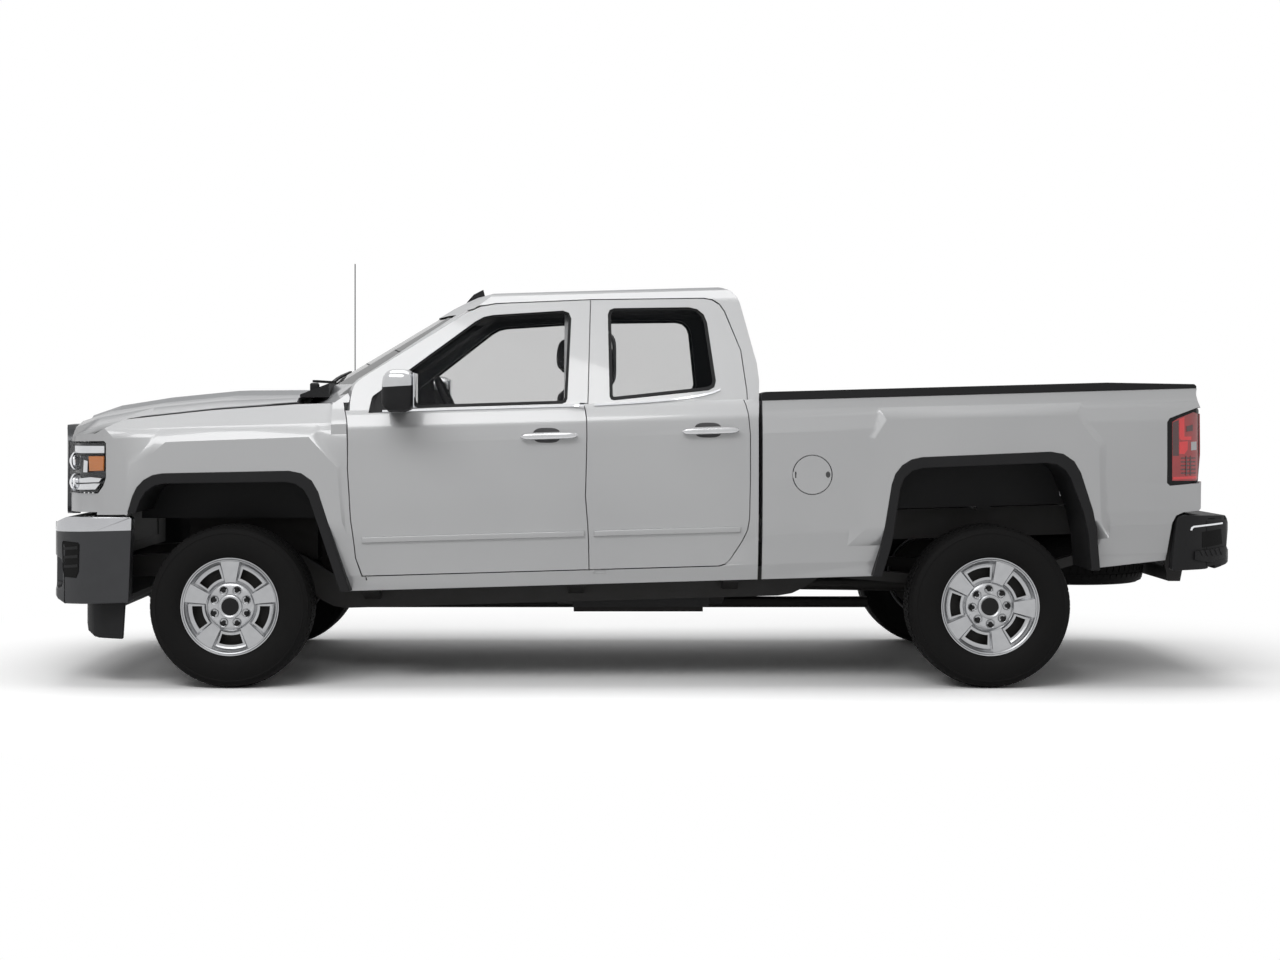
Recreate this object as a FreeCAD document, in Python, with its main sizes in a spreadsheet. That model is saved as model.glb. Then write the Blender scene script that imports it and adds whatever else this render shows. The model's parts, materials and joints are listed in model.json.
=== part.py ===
import FreeCAD, Part
import os
import Sketcher
from math import cos, sin, tan, radians, sqrt, acos, pi

# Full-size four-wheel-drive pickup truck with a four-door extended cab.
# Millimetres. The nose points to -X, the truck's left side to -Y, and the tyres stand on Z = 0.

doc = FreeCAD.newDocument("PickupTruck")
sheet = doc.addObject("Spreadsheet::Sheet", "Sizes")
nodes = []


class Size:
    """A length from the sheet, or a sum of such lengths, with the expression that gives it."""

    def __init__(self, value, text):
        self.value = float(value)
        self.text = text

    def __float__(self):
        return self.value

    def __add__(self, other):
        return Size(self.value + float(other), "(%s + %s)" % (self.text, wording(other)))

    def __radd__(self, other):
        return self + other

    def __sub__(self, other):
        return Size(self.value - float(other), "(%s - %s)" % (self.text, wording(other)))

    def __rsub__(self, other):
        return Size(float(other) - self.value, "(%s - %s)" % (wording(other), self.text))

    def __mul__(self, other):
        return Size(self.value * float(other), "(%s * %s)" % (self.text, wording(other)))

    def __rmul__(self, other):
        return self * other

    def __truediv__(self, other):
        return Size(self.value / float(other), "(%s / %s)" % (self.text, wording(other)))

    def __neg__(self):
        return Size(-self.value, "(0 - %s)" % self.text)


def wording(number):
    return number.text if isinstance(number, Size) else repr(float(number))


def size(name, value):
    """Write one driving size into the sheet and hand it back as read there."""
    row = len(sheet_names) + 1
    sheet_names.append(name)
    sheet.set("A%d" % row, name)
    sheet.set("B%d" % row, str(value))
    sheet.setAlias("B%d" % row, name)
    return Size(sheet.getContents("B%d" % row), "Sizes." + name)


sheet_names = []

# Driving sizes
wheelbase = size("wheelbase", 3663)
front_overhang = size("front_overhang", 958)
rear_overhang = size("rear_overhang", 1235)
track = size("track_width", 1744)
tyre_radius = size("tyre_radius", 392)
tyre_width = size("tyre_width", 266)
rim_radius = size("rim_radius", 237)
rim_width = size("rim_width", 226)
rake = size("body_rake", 0.0285)
half_width = size("body_half_width", 1008)
flare_proud = size("flare_proud", 14)
flare_root = size("flare_root", 24)
flare_fade = size("flare_fade", 90)
sill = size("sill_height", 448)
door_bottom = size("door_bottom_height", 522)
floor_height = size("cab_floor_height", 560)
cab_underside = size("cab_underside_height", 505)
belt = size("belt_height", 1320)
belt_half = size("belt_half_width", 958)
cowl = size("cowl_height", 1361)
eaves = size("roof_edge_height", 1877)
eaves_half = size("roof_edge_half_width", 724)
crown = size("roof_crown_height", 1920)
door_start = size("door_start", 575)
front_door_length = size("front_door_length", 1150)
rear_door_length = size("rear_door_length", 778)
cab_end_wall = size("cab_end_wall", 42)
cab_to_bed = size("cab_to_bed_gap", 20)
bed_tail = size("bed_tail", 997)
rail_height = size("bed_rail_height", 1312)
cap_height = size("rail_cap_height", 42)
bed_floor = size("bed_floor_height", 795)
bed_half = size("bed_inner_half_width", 823)
shut_gap = size("shut_gap", 5)
door_wall = size("door_thickness", 90)
frame_wall = size("window_frame_thickness", 45)
glass_wall = size("glass_thickness", 6)
panel = size("panel_thickness", 55)
edge_lean = size("door_edge_lean", 0.4)
pin_setback = size("door_pin_setback", 60)
pin_depth = size("door_pin_depth", 20)
pin_radius = size("hinge_pin_radius", 12)
running_gap = size("running_gap", 0.4)
rail_half = size("frame_rail_half_width", 470)
rail_wide = size("frame_rail_flange", 75)
rail_steel = size("frame_rail_steel", 9)
rail_deep = size("frame_rail_depth", 150)
rail_low = size("frame_rail_height", 320)
kingpin = size("kingpin_half_distance", 700)
hub_radius = size("hub_radius", 58)
receiver_tube = size("receiver_opening", 51)
receiver_steel = size("receiver_steel", 8)
receiver_pin = size("receiver_pin_bore", 16)

overall_length = front_overhang + wheelbase + rear_overhang
front_axle = front_overhang - overall_length / 2
rear_axle = front_axle + wheelbase
nose = front_axle - front_overhang
tail = rear_axle + rear_overhang
door_front = front_axle + door_start
pillar_line = door_front + front_door_length
door_rear = pillar_line + rear_door_length
cab_rear = door_rear + cab_end_wall
bed_front = cab_rear + cab_to_bed
bed_rear = rear_axle + bed_tail
wheel_half = track / 2
glass_slope = (float(belt_half) - float(eaves_half)) / (float(eaves) - float(belt))
FRONT_AXLE = float(front_axle)
RAKE = float(rake)


# Points, outlines and solids

def vec(x, y, z):
    return FreeCAD.Vector(float(x), float(y), float(z))


def lift(x):
    """How far the raked body stands above its level drawing at a place along the truck."""
    return RAKE * (float(x) - FRONT_AXLE)


def side(y):
    """Side view: u runs back, v is the height on the level body."""
    return lambda u, v: vec(u, y, v + lift(u))


def cross(x):
    """Cross-section: u runs to the right, v is the height on the level body."""
    return lambda u, v: vec(x, u, v + lift(x))


def swept(x):
    """Cross-section square to the raked body, to be drawn along it."""
    return lambda u, v: vec(float(x) - RAKE * v, u, v + lift(x))


def along(run):
    return vec(run, 0, RAKE * float(run))


def plan(z):
    return lambda u, v: vec(u, v, z)


def upright(x):
    """Cross-section drawn in true heights."""
    return lambda u, v: vec(x, u, v)


def profile(y):
    """Side view drawn in true heights."""
    return lambda u, v: vec(u, y, v)


def slope_side(inset=0.0):
    """Side view laid on the leaning plane of the left-hand windows."""
    def place(u, v):
        y = -(float(belt_half) - (v - float(belt)) * glass_slope) + float(inset)
        return vec(u, y, v + lift(u))
    return place


corner_step = size("corner_step_sag", 2.5)


def outline(corners, place):
    """Closed wire through corners (u, v); corners (u, v, radius) are rounded in short straight steps."""
    count = len(corners)
    spots = [(float(c[0]), float(c[1])) for c in corners]
    radii = [float(c[2]) if len(c) > 2 else 0.0 for c in corners]
    path = []
    for i in range(count):
        p = spots[i]
        a = (spots[i - 1][0] - p[0], spots[i - 1][1] - p[1])
        b = (spots[(i + 1) % count][0] - p[0], spots[(i + 1) % count][1] - p[1])
        la = sqrt(a[0] ** 2 + a[1] ** 2)
        lb = sqrt(b[0] ** 2 + b[1] ** 2)
        a = (a[0] / la, a[1] / la)
        b = (b[0] / lb, b[1] / lb)
        angle = acos(max(-1.0, min(1.0, a[0] * b[0] + a[1] * b[1])))
        if radii[i] <= 0 or angle > 3.0:
            path.append(p)
            continue
        reach = min(radii[i] / tan(angle / 2), 0.49 * la, 0.49 * lb)
        radius = reach * tan(angle / 2)
        sag = min(float(corner_step), radius * 0.3)
        steps = max(1, round((pi - angle) / (2 * acos(1 - sag / radius))))
        middle = (a[0] + b[0], a[1] + b[1])
        lm = sqrt(middle[0] ** 2 + middle[1] ** 2)
        away = radius / sin(angle / 2)
        centre = (p[0] + middle[0] / lm * away, p[1] + middle[1] / lm * away)
        first = (p[0] + a[0] * reach - centre[0], p[1] + a[1] * reach - centre[1])
        last = (p[0] + b[0] * reach - centre[0], p[1] + b[1] * reach - centre[1])
        whole = pi - angle
        for k in range(steps + 1):
            near = sin(whole * (1 - k / steps)) / sin(whole)
            far = sin(whole * k / steps) / sin(whole)
            path.append((centre[0] + first[0] * near + last[0] * far,
                         centre[1] + first[1] * near + last[1] * far))
    points = []
    for u, v in path:
        spot = place(u, v)
        if not points or spot.distanceToPoint(points[-1]) > 0.01:
            points.append(spot)
    if points[0].distanceToPoint(points[-1]) > 0.01:
        points.append(points[0])
    else:
        points[-1] = points[0]
    return Part.makePolygon(points)


def slab(corners, place, along):
    """Solid made by drawing an outline along a direction."""
    return Part.Face(outline(corners, place)).extrude(along)


def loft(rings):
    """Solid with flat triangular faces between rings that have the same number of corners."""
    faces = []
    count = len(rings[0])
    for near, far in zip(rings, rings[1:]):
        for i in range(count):
            j = (i + 1) % count
            for corners in ((near[i], near[j], far[j]), (near[i], far[j], far[i])):
                faces.append(Part.Face(Part.makePolygon(list(corners) + [corners[0]])))
    for ring in (rings[0], rings[-1]):
        faces.append(Part.Face(Part.makePolygon(ring + [ring[0]])))
    solid = Part.makeSolid(Part.makeShell(faces))
    if solid.Volume < 0:
        solid.reverse()
    return solid


def block(x0, x1, y0, y1, z0, z1):
    lengths = (float(x1) - float(x0), float(y1) - float(y0), float(z1) - float(z0))
    return Part.makeBox(lengths[0], lengths[1], lengths[2], vec(x0, y0, z0))


def rod(start, end, radius):
    start = vec(*start)
    way = vec(*end) - start
    return Part.makeCylinder(float(radius), way.Length, start, way)


def bar(start, end, radius, sides=16):
    """Many-sided rod."""
    start = vec(*start)
    way = vec(*end) - start
    axis = vec(way.x, way.y, way.z)
    axis.normalize()
    aside = axis.cross(vec(0, 0, 1)) if abs(axis.z) < 0.9 else vec(1, 0, 0)
    aside.normalize()
    up = axis.cross(aside)
    turns = [2 * pi * k / sides for k in range(sides)]
    spots = [start + aside * (float(radius) * cos(t)) + up * (float(radius) * sin(t)) for t in turns]
    return Part.Face(Part.makePolygon(spots + [spots[0]])).extrude(way)


def mirrored(shape):
    return shape.mirror(vec(0, 0, 0), vec(0, 1, 0))


def join(*shapes):
    """Fuse solids and take away the seams."""
    result = shapes[0]
    if len(shapes) > 1:
        result = result.multiFuse(list(shapes[1:]))
    return result.removeSplitter()


def cut(shape, *tools):
    return shape.cut(Part.makeCompound(list(tools))).removeSplitter()


def piece(name, *shapes):
    """One node from finished solids."""
    solids = []
    for shape in shapes:
        solids.extend(shape.Solids)
    feature = doc.addObject("Part::Feature", name)
    feature.Label = name
    feature.Shape = solids[0] if len(solids) == 1 else Part.makeCompound(solids)
    nodes.append(feature)
    return feature


def sketch(body, name, role, corners):
    """Closed sketch on one of the body's own planes, each corner bound to the sheet."""
    drawing = body.newObject("Sketcher::SketchObject", name)
    planes = [f for f in body.Origin.OriginFeatures if f.Role == role]
    drawing.AttachmentSupport = [(planes[0], "")]
    drawing.MapMode = "FlatFace"
    spots = [vec(u, v, 0) for u, v in corners]
    for i in range(len(spots)):
        drawing.addGeometry(Part.LineSegment(spots[i], spots[(i + 1) % len(spots)]))
    for i in range(len(spots)):
        drawing.addConstraint(Sketcher.Constraint("Coincident", i, 2, (i + 1) % len(spots), 1))
    for i, corner in enumerate(corners):
        for kind, length in (("DistanceX", corner[0]), ("DistanceY", corner[1])):
            index = drawing.addConstraint(Sketcher.Constraint(kind, -1, 1, i, 1, float(length)))
            if isinstance(length, Size):
                drawing.setExpression("Constraints[%d]" % index, length.text)
    return drawing


def new_body(name):
    body = doc.addObject("PartDesign::Body", name)
    body.Label = name
    return body


def revolve(body, drawing, name):
    turned = body.newObject("PartDesign::Revolution", name)
    turned.Profile = drawing
    turned.ReferenceAxis = (drawing, ["V_Axis"])
    turned.Angle = 360
    drawing.Visibility = False
    return turned


def finish_body(body, place=None):
    if place is not None:
        body.Placement = place
    nodes.append(body)
    return body


# Outlines that several pieces share

def arch_outer(axle, front):
    """Outer edge of a wheel-arch lip, measured from the axle."""
    if front:
        return [(axle - 508, 780), (axle - 428, belt - 273, 150), (axle + 399, belt - 280, 150),
                (axle + 585, sill + 6)]
    return [(axle - 577, sill - 14), (axle - 528, 610, 300), (axle - 461, belt - 302, 150),
            (axle + 392, belt - 290, 150), (axle + 497, 700, 400), (axle + 520, sill - 14)]


def arch_inner(axle, front, grow=0.0):
    """Opening of a wheel arch, measured from the axle."""
    if front:
        return [(axle - 473 - grow, 780), (axle - 390 - grow, belt - 323 + grow, 120),
                (axle + 360 + grow, belt - 335 + grow, 120), (axle + 543 + grow, sill - 14)]
    return [(axle - 533 - grow, sill - 14), (axle - 481 - grow, 600, 300),
            (axle - 425 - grow, belt - 355 + grow, 110), (axle + 347 + grow, belt - 345 + grow, 120),
            (axle + 457 + grow, 680, 400), (axle + 477 + grow, sill - 14)]


def side_skin(top):
    """Half cross-section of the lower body from the sill up to the belt or rail."""
    return [(half_width - 73, sill), (half_width - 46, door_bottom, 60), (half_width - 10, 700, 500),
            (half_width, 930, 900)] + top


door_top_skin = [(half_width, belt - 130, 400), (half_width - 14, belt - 45, 90), (belt_half, belt)]
fender_top_skin = [(half_width, belt - 170, 300), (half_width - 20, belt - 75, 120), (905, cowl + 3)]
bed_top_skin = [(half_width, belt - 130, 400), (half_width - 20, belt - 60, 120),
                (half_width - 26, rail_height)]


def skin_band(skin, wall, x0, x1):
    """Left-hand band of side panel with the given wall, drawn along the raked body."""
    outer = [(-c[0],) + tuple(c[1:]) for c in skin]
    inner = [(-(c[0] - wall), c[1]) for c in reversed(skin)]
    margin = 60.0
    return slab(outer + inner, swept(float(x0) - margin), along(float(x1) - float(x0) + 3 * margin))


def front_plan(setback=0.0):
    """Plan of the front end, for what lies behind the nose."""
    half = [(nose + 8 + setback, 0), (nose + 18 + setback, 380, 400), (nose + 92 + setback, 690, 300),
            (nose + 190 + setback, 880, 200), (nose + 400 + setback, half_width - 8, 300),
            (front_axle - 380 + setback, half_width + flare_proud)]
    back = [(cab_rear, half_width + flare_proud)]
    left = half + back
    right = [(c[0], -c[1]) + tuple(c[2:]) for c in reversed(left)]
    return left + right[:-1]


def whole_front(setback=0.0, z0=200.0, z1=1500.0):
    return slab(front_plan(setback), plan(z0), vec(0, 0, z1 - z0))


# Doors, their openings, windows and hinges

def door_lower_outline(rear, grow=0.0):
    g = grow
    gap = shut_gap / 2
    if not rear:
        return [(door_front - g, belt + 40), (door_front - 2 - g, belt - 280),
                (door_front + 14 - g, 800), (door_front + 45 - g, 610),
                (door_front + 82 - g, door_bottom - g), (pillar_line + 24 - gap + g, door_bottom - g),
                (pillar_line - 11 - gap + g, 880), (pillar_line - gap + g, belt + 40)]
    return [(pillar_line + gap - g, belt + 40), (pillar_line - 11 + gap - g, 880),
            (pillar_line + 24 + gap - g, door_bottom - g), (door_rear - 95 + g, door_bottom - g, 60),
            (door_rear + g, 690, 220), (door_rear + g, 1150), (door_rear - 12 + g, belt + 40)]


def door_upper_outline(rear, grow=0.0):
    g = grow
    gap = shut_gap / 2
    low = belt - 1
    if not rear:
        return [(door_front - g, low), (door_front - g, belt + 42), (door_front + 12 - g, belt + 133 + g, 80),
                (pillar_line - 532 - g, eaves - 52 + g, 300), (pillar_line + 13 - gap + g, eaves - 45 + g),
                (pillar_line - gap + g, low)]
    return [(pillar_line + gap - g, low), (pillar_line + 13 + gap - g, eaves - 45 + g),
            (door_rear - 135 + g, eaves - 55 + g, 110), (door_rear - 35 + g, belt + 240),
            (door_rear - 12 + g, belt + 40, 300), (door_rear - 11 + g, low)]


def window_outline(rear):
    if not rear:
        return [(door_front + 102, belt + 2, 8), (door_front + 105, belt + 65, 12),
                (pillar_line - 515, eaves - 107, 160), (pillar_line - 80, eaves - 92, 40),
                (pillar_line - 100, belt + 4, 25)]
    return [(pillar_line + 105, belt + 12, 20), (pillar_line + 97, eaves - 88, 30),
            (door_rear - 203, eaves - 96, 90), (door_rear - 152, belt + 52, 40)]


lean = vec(-float(edge_lean), 1, 0)
wall_way = lean * (float(door_wall) + 40)
frame_way = lean * float(frame_wall)
start_back = lean * -30.0


def lower_prism(rear, grow=0.0):
    shape = slab(door_lower_outline(rear, grow), side(-half_width), wall_way + lean * 30.0)
    shape.translate(start_back)
    return shape


def door_pin(rear):
    start = pillar_line + shut_gap / 2 if rear else door_front
    return start + pin_setback, -(half_width - pin_depth)


hinge_levels = (850, 1125)
door_swing = size("door_swing_radius", 151)
hinge_tall = 60


def hinge_notch(rear):
    """Pockets that let the pillar's hinge arms reach the door's pins."""
    x, y = door_pin(rear)
    notches = []
    for level in hinge_levels:
        z = level + lift(x)
        notches.append(block(x - pin_setback - 90, x + pin_radius + 6, y - pin_radius + 1.5, y + 200,
                             z, z + hinge_tall))
    return notches


def swing_space(rear):
    """Room inside the cab for the front corner of a door as it turns in about its pins."""
    x, y = door_pin(rear)
    spaces = []
    for low, high, reach in ((500, belt - 70, door_swing), (belt - 75, belt + 130, door_swing + 14)):
        corners = [(x, y)]
        for degrees in range(42, 127, 12):
            corners.append((x - reach * cos(radians(degrees)), y + reach * sin(radians(degrees))))
        spaces.append(slab(corners, plan(low + lift(x)), vec(0, 0, high - low)))
    return spaces


def hinge_arm(rear):
    """Pin barrels on arms that reach out from the pillar."""
    x, y = door_pin(rear)
    reach = 112 if rear else 104
    arms = []
    for level in hinge_levels:
        z = level + lift(x) + running_gap
        tall = hinge_tall - 2 * float(running_gap)
        arm = slab([(x - 6, y - 4), (x + 6, y - 4), (x + 6, y + 100), (x - reach - 24, y + 100),
                    (x - reach - 24, y + 76), (x - 6, y + 76)], plan(z), vec(0, 0, tall))
        barrel = bar((x, y, z), (x, y, float(z) + tall), pin_radius - 3, 10)
        arms.append(join(arm, barrel))
    return arms


def handle(rear):
    """Pull handle with its two feet, standing on the door skin."""
    x1 = pillar_line - 52 if not rear else door_rear - 55
    x0 = x1 - 268
    z = belt - 156 if not rear else belt - 152
    bar = slab([(x0, z + 8, 8), (x0 + 14, z + 26, 12), (x1 - 14, z + 26, 12), (x1, z + 8, 8), (x1 - 14, z - 2, 8),
                (x0 + 14, z - 2, 8)], side(-half_width - 30), vec(0, 14, 0))
    feet = [block(x, x + 34, -half_width - 20, -half_width + 8, z + 2 + lift(x0), z + 20 + lift(x0))
            for x in (x0 + 12, x1 - 46)]
    return join(bar, *feet)


door_band = skin_band(side_skin(door_top_skin), door_wall, front_axle, tail)


def door(rear):
    lower = door_band.common(lower_prism(rear))
    upper = slab(door_upper_outline(rear), slope_side(), frame_way)
    window = slab(window_outline(rear), slope_side(-40), vec(0, 140, 0))
    shape = join(lower, upper)
    tools = hinge_notch(rear) + [window]
    if not rear:
        z = belt + lift(pillar_line)
        tools.append(block(pillar_line - 40, pillar_line + 60, -belt_half - 10, -belt_half + 90, z - 3, z + 5))
    shape = cut(shape, *tools)
    return join(shape, handle(rear))


def door_glass(rear):
    pane = slab(window_outline(rear), slope_side(18), vec(0, glass_wall, 0))
    return pane


def build_doors():
    for rear in (False, True):
        end = "rear" if rear else "front"
        left = door(rear)
        pane = door_glass(rear)
        piece(end + "_door_left", left)
        piece(end + "_door_right", mirrored(left))
        piece(end + "_door_glass_left", pane)
        piece(end + "_door_glass_right", mirrored(pane))


# Door mirror: a foot on the sail of the door, an arm and a deep housing

def mirror():
    x = door_front + 175
    z = belt - 8 + lift(x)
    housing = slab([(x, 1052, 30), (x + 40, 1052), (x + 165, 1052, 6), (x + 150, 1285, 40),
                    (x + 60, 1290, 60), (x + 5, 1180, 80)], plan(z), vec(0, 0, 200))
    crop = slab([(x - 10, z - 5), (x - 10, z + 90, 40), (x + 20, z + 200, 60), (x + 165, z + 204, 20),
                 (x + 175, z - 5)], profile(1000), vec(0, 400, 0))
    housing = housing.common(crop)
    glass_recess = block(x + 158, x + 200, 1075, 1262, z + 18, z + 184)
    housing = cut(housing, glass_recess)
    arm = slab([(x + 6, 930), (x + 110, 930), (x + 118, 1062), (x + 40, 1062)], plan(z - 42), vec(0, 0, 44))
    stem = slab([(x + 12, 990), (x + 112, 990), (x + 118, 1062), (x + 40, 1062)], plan(z - 42), vec(0, 0, 90))
    shape = mirrored(join(housing, arm, stem))
    skin = door_band.copy()
    skin.translate(vec(0, -0.3, 0))
    return cut(shape, skin)


# Cab: outer form less inner form, with the openings cut

def cab_section(inset_side, inset_roof, low):
    wall = inset_side
    upper = frame_wall if float(wall) > 0 else 0
    half = [(half_width - 73 - wall, low), (half_width - 46 - wall, door_bottom + low - sill, 60)]
    if float(wall) > 0:
        half = [(half_width - wall, low), (half_width - wall, belt - 60), (belt_half - upper, belt)]
    else:
        half = side_skin(door_top_skin)
    half = half + [(eaves_half - upper, eaves - inset_roof, 95), (0, crown - inset_roof, 6000)]
    left = [(-c[0],) + tuple(c[1:]) for c in half[:-1]]
    right = list(reversed(half))
    return left + right


def cab_profile(inset):
    i = inset
    return [(door_front - 420, sill - 5), (door_front - 420, crown + 60), (door_front + 330, crown + 60),
            (door_front + 405, eaves - 63 - i), (door_front + 560, eaves - 10 - i, 300),
            (door_front + 900, crown - 12 - i, 900), (pillar_line + 200, crown + 2 - i, 2500),
            (pillar_line + 500, crown - 8 - i, 900), (cab_rear - 88 - i, eaves - 12 - i, 110),
            (cab_rear + 12 - i, belt + 130, 300), (cab_rear - i, belt - 100), (cab_rear - i, sill - 5)]


screen_run = 633.0
screen_rise = 363.0
screen_foot = front_axle + 346
screen_foot_height = belt + 131
screen_bow = size("windscreen_bow_radius", 3050)


def screen_solid(setback):
    """Everything behind the bowed, sloping surface of the windscreen."""
    back = 250.0
    rise = screen_rise + RAKE * screen_run
    way = vec(screen_run, 0, rise)
    way.normalize()
    down = vec(way.z, 0, -way.x)
    foot = vec(screen_foot, 0, screen_foot_height + lift(screen_foot)) + down * (float(setback) * way.z)
    foot = foot - way * back
    half = 1060.0
    strips = 8
    bow = float(screen_bow)
    points = []
    for k in range(strips + 1):
        across = half - 2 * half * k / strips
        sag = bow - sqrt(bow ** 2 - across ** 2)
        points.append(foot + down * sag + vec(0, across, 0))
    deep = down * 3000.0
    points = points + [points[-1] + deep, points[0] + deep, points[0]]
    return Part.Face(Part.makePolygon(points)).extrude(way * 2600.0)


def cab_form(inset_side, inset_roof, setback, low, front_wall, low_front):
    run = float(cab_rear) - float(front_axle) + 100
    section = slab(cab_section(inset_side, inset_roof, low), swept(front_axle), along(run + 100))
    form = section.common(slab(cab_profile(inset_roof), side(-1100), vec(0, 2200, 0)))
    split = [(front_axle, cowl), (tail, cowl), (tail, 2300), (front_axle, 2300)]
    upper = form.common(slab(split, side(-1100), vec(0, 2200, 0)))
    upper = upper.common(screen_solid(setback))
    upper = upper.common(block(front_wall, tail, -1100, 1100, 0, 2500))
    split = [(low_front, 0), (tail, 0), (tail, cowl + 1), (low_front, cowl + 1)]
    lower = form.common(slab(split, side(-1100), vec(0, 2200, 0)))
    return join(upper, lower)


screen_trim = [(-805, belt + 137), (-640, eaves - 74), (640, eaves - 74), (805, belt + 137)]
back_window = [(-570, belt + 105), (-520, eaves - 110), (520, eaves - 110), (570, belt + 105)]


def tunnel_form(wall):
    """Floor tunnel over the gearbox."""
    w = wall
    low = cab_underside - 2 if w > 0 else 400
    form = slab([(-250 - w, low), (-250 - w, 640 + w), (-190, 760 + w), (190, 760 + w), (250 + w, 640 + w),
                 (250 + w, low)], cross(door_front - 140), vec(pillar_line - door_front - 160 + w, 0, 0))
    fall = slab([(door_front - 160, 300), (door_front - 160, 770 + w), (door_front + 180, 690 + w),
                 (door_front + 500, 635 + w), (tail, 625 + w), (tail, 300)], side(-400), vec(0, 800, 0))
    return form.common(fall)


def build_cab():
    outer = cab_form(0, 0, 0, sill, front_axle + 345, door_front - 85)
    inner = cab_form(door_wall, 50, 70, floor_height, front_axle + 390, door_front - 25)
    shell = outer.cut(inner)
    tunnel_in = tunnel_form(0)
    shell = join(shell, tunnel_form(28).common(block(door_front - 80, tail, -400, 400, 0, 900)))
    tools = [tunnel_in]
    for rear in (False, True):
        lower = lower_prism(rear, float(shut_gap))
        wide = slab(door_upper_outline(rear, float(shut_gap)), slope_side(), lean * (float(frame_wall) + 24))
        out = slab(door_upper_outline(rear, float(shut_gap)), slope_side(), lean * -40.0)
        for space in [lower, wide, out] + swing_space(rear):
            tools.extend([space, mirrored(space)])
    screen_hole = slab(screen_trim, upright(front_axle + 300), vec(900, 0, 0))
    screen_hole.translate(vec(0, 0, lift(screen_foot)))
    back_hole = slab(back_window, upright(cab_rear - 200), vec(400, 0, 0))
    back_hole.translate(vec(0, 0, lift(cab_rear)))
    tools.extend([screen_hole, back_hole])
    wing_band = skin_band(side_skin(fender_top_skin), panel + 0.3, front_axle, door_front + 200)
    beside = [block(front_axle, door_front + 200, -1100, -half_width + panel + 0.3, 0, 1100),
              block(front_axle, door_front + 200, -1100, -half_width + 12, 0, 1310)]
    wing_band = wing_band.multiFuse(beside)
    fender_space = wing_band.common(slab(fender_outline(), side(-1100), vec(0, 400, 0)))
    lip = lip_space(front_axle, True, -1100, -half_width + 60.4)
    underfloor = slab([(front_axle, 300), (tail, 300), (tail, cab_underside), (front_axle, cab_underside)],
                      side(-640), vec(0, 1280, 0))
    well = arch_space(front_axle, True, -1100, -600, 8.0)
    tools.extend([fender_space, mirrored(fender_space), well, mirrored(well), lip, mirrored(lip), underfloor])
    shell = cut(shell, *tools)
    extras = []
    post_x = pillar_line - 116
    run = 61
    post = [(-(half_width - door_wall - 58), floor_height - 5), (-(half_width - door_wall - 18), 720),
            (-(half_width - door_wall - 22), belt - 50), (-(belt_half - door_wall - 10), belt),
            (-(belt_half - frame_wall - 14), belt + 20), (-(eaves_half - 56), eaves - 45),
            (-(eaves_half - 110), eaves - 45), (-(belt_half - frame_wall - 80), belt + 20),
            (-(half_width - door_wall - 110), floor_height - 5)]
    pillar = slab(post, cross(post_x), vec(run, 0, RAKE * run))
    for rear in (False, True):
        extras.extend(hinge_arm(rear))
    extras.append(hood_hinge())
    extras.append(pillar)
    extras = extras + [mirrored(e) for e in extras]
    shell = join(shell, *extras)
    piece("cab_shell", shell)
    screen_band = screen_solid(12).cut(screen_solid(24)).common(screen_hole)
    tilt = [(cab_rear - 6, belt + 60), (cab_rear - 12, belt + 60), (cab_rear - 70, eaves - 60),
            (cab_rear - 64, eaves - 60)]
    back_pane = slab(tilt, side(-600), vec(0, 1200, 0)).common(back_hole)
    piece("fixed_glass", screen_band, back_pane)
    return shell


def mount_stations():
    return (door_front + 60, pillar_line - 60, door_rear - 60)


# Front sheet metal

def bulge(axle, front):
    """Raised flare over a wheel, with sloping edges and ends, rooted in the panel behind it."""
    if front:
        base = [(axle - 560, 700), (axle - 505, belt - 205, 160), (axle - 330, belt - 62, 150),
                (axle + 420, belt - 58, 130), (axle + 560, belt - 230, 200), (axle + 575, 700)]
        top = [(axle - 500, 700 + flare_fade), (axle - 440, belt - 240, 150), (axle - 300, belt - 125, 130),
               (axle + 385, belt - 120, 120), (axle + 520, belt - 270, 190),
               (axle + 545, 700 + flare_fade)]
    else:
        base = [(axle - 690, 600), (axle - 640, belt - 190, 160), (axle - 540, belt - 58, 120),
                (axle + 430, belt - 62, 130), (axle + 600, belt - 230, 220), (axle + 570, 600)]
        top = [(axle - 600, 600 + flare_fade), (axle - 560, belt - 210, 150), (axle - 500, belt - 120, 100),
               (axle + 400, belt - 125, 120), (axle + 510, belt - 270, 200), (axle + 520, 600 + flare_fade)]
    base = [c[:2] for c in base]
    top = [c[:2] for c in top]
    foot = outline(base, side(-half_width + 14))
    head = outline(top, side(-half_width - flare_proud))
    root = slab(base, side(-half_width + 14), vec(0, flare_root, 0))
    return join(Part.makeLoft([foot, head], True, True), root)


def fender_outline():
    g = float(shut_gap)
    lamp_x = front_axle - 596
    return [(nose + 168, 852, 10), (nose + 168, 946), (lamp_x - 52, 946, 8), (lamp_x, 1010, 60),
            (lamp_x, 1208, 12), (front_axle - 705, 1208), (front_axle - 700, 1224),
            (front_axle - 520, belt - 12, 90), (front_axle - 91, belt + 22), (cowl_x(), cowl - 2),
            (door_front - g, cowl - 2), (door_front - 2 - g, belt - 280),
            (door_front + 14 - g, 800), (door_front + 45 - g, 610),
            (door_front + 82 - g, door_bottom - g), (door_front + 82 - g, sill + 2),
            (front_axle + 560, sill + 2), (front_axle - 500, 852)]


def cowl_x():
    return front_axle + 318


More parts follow.
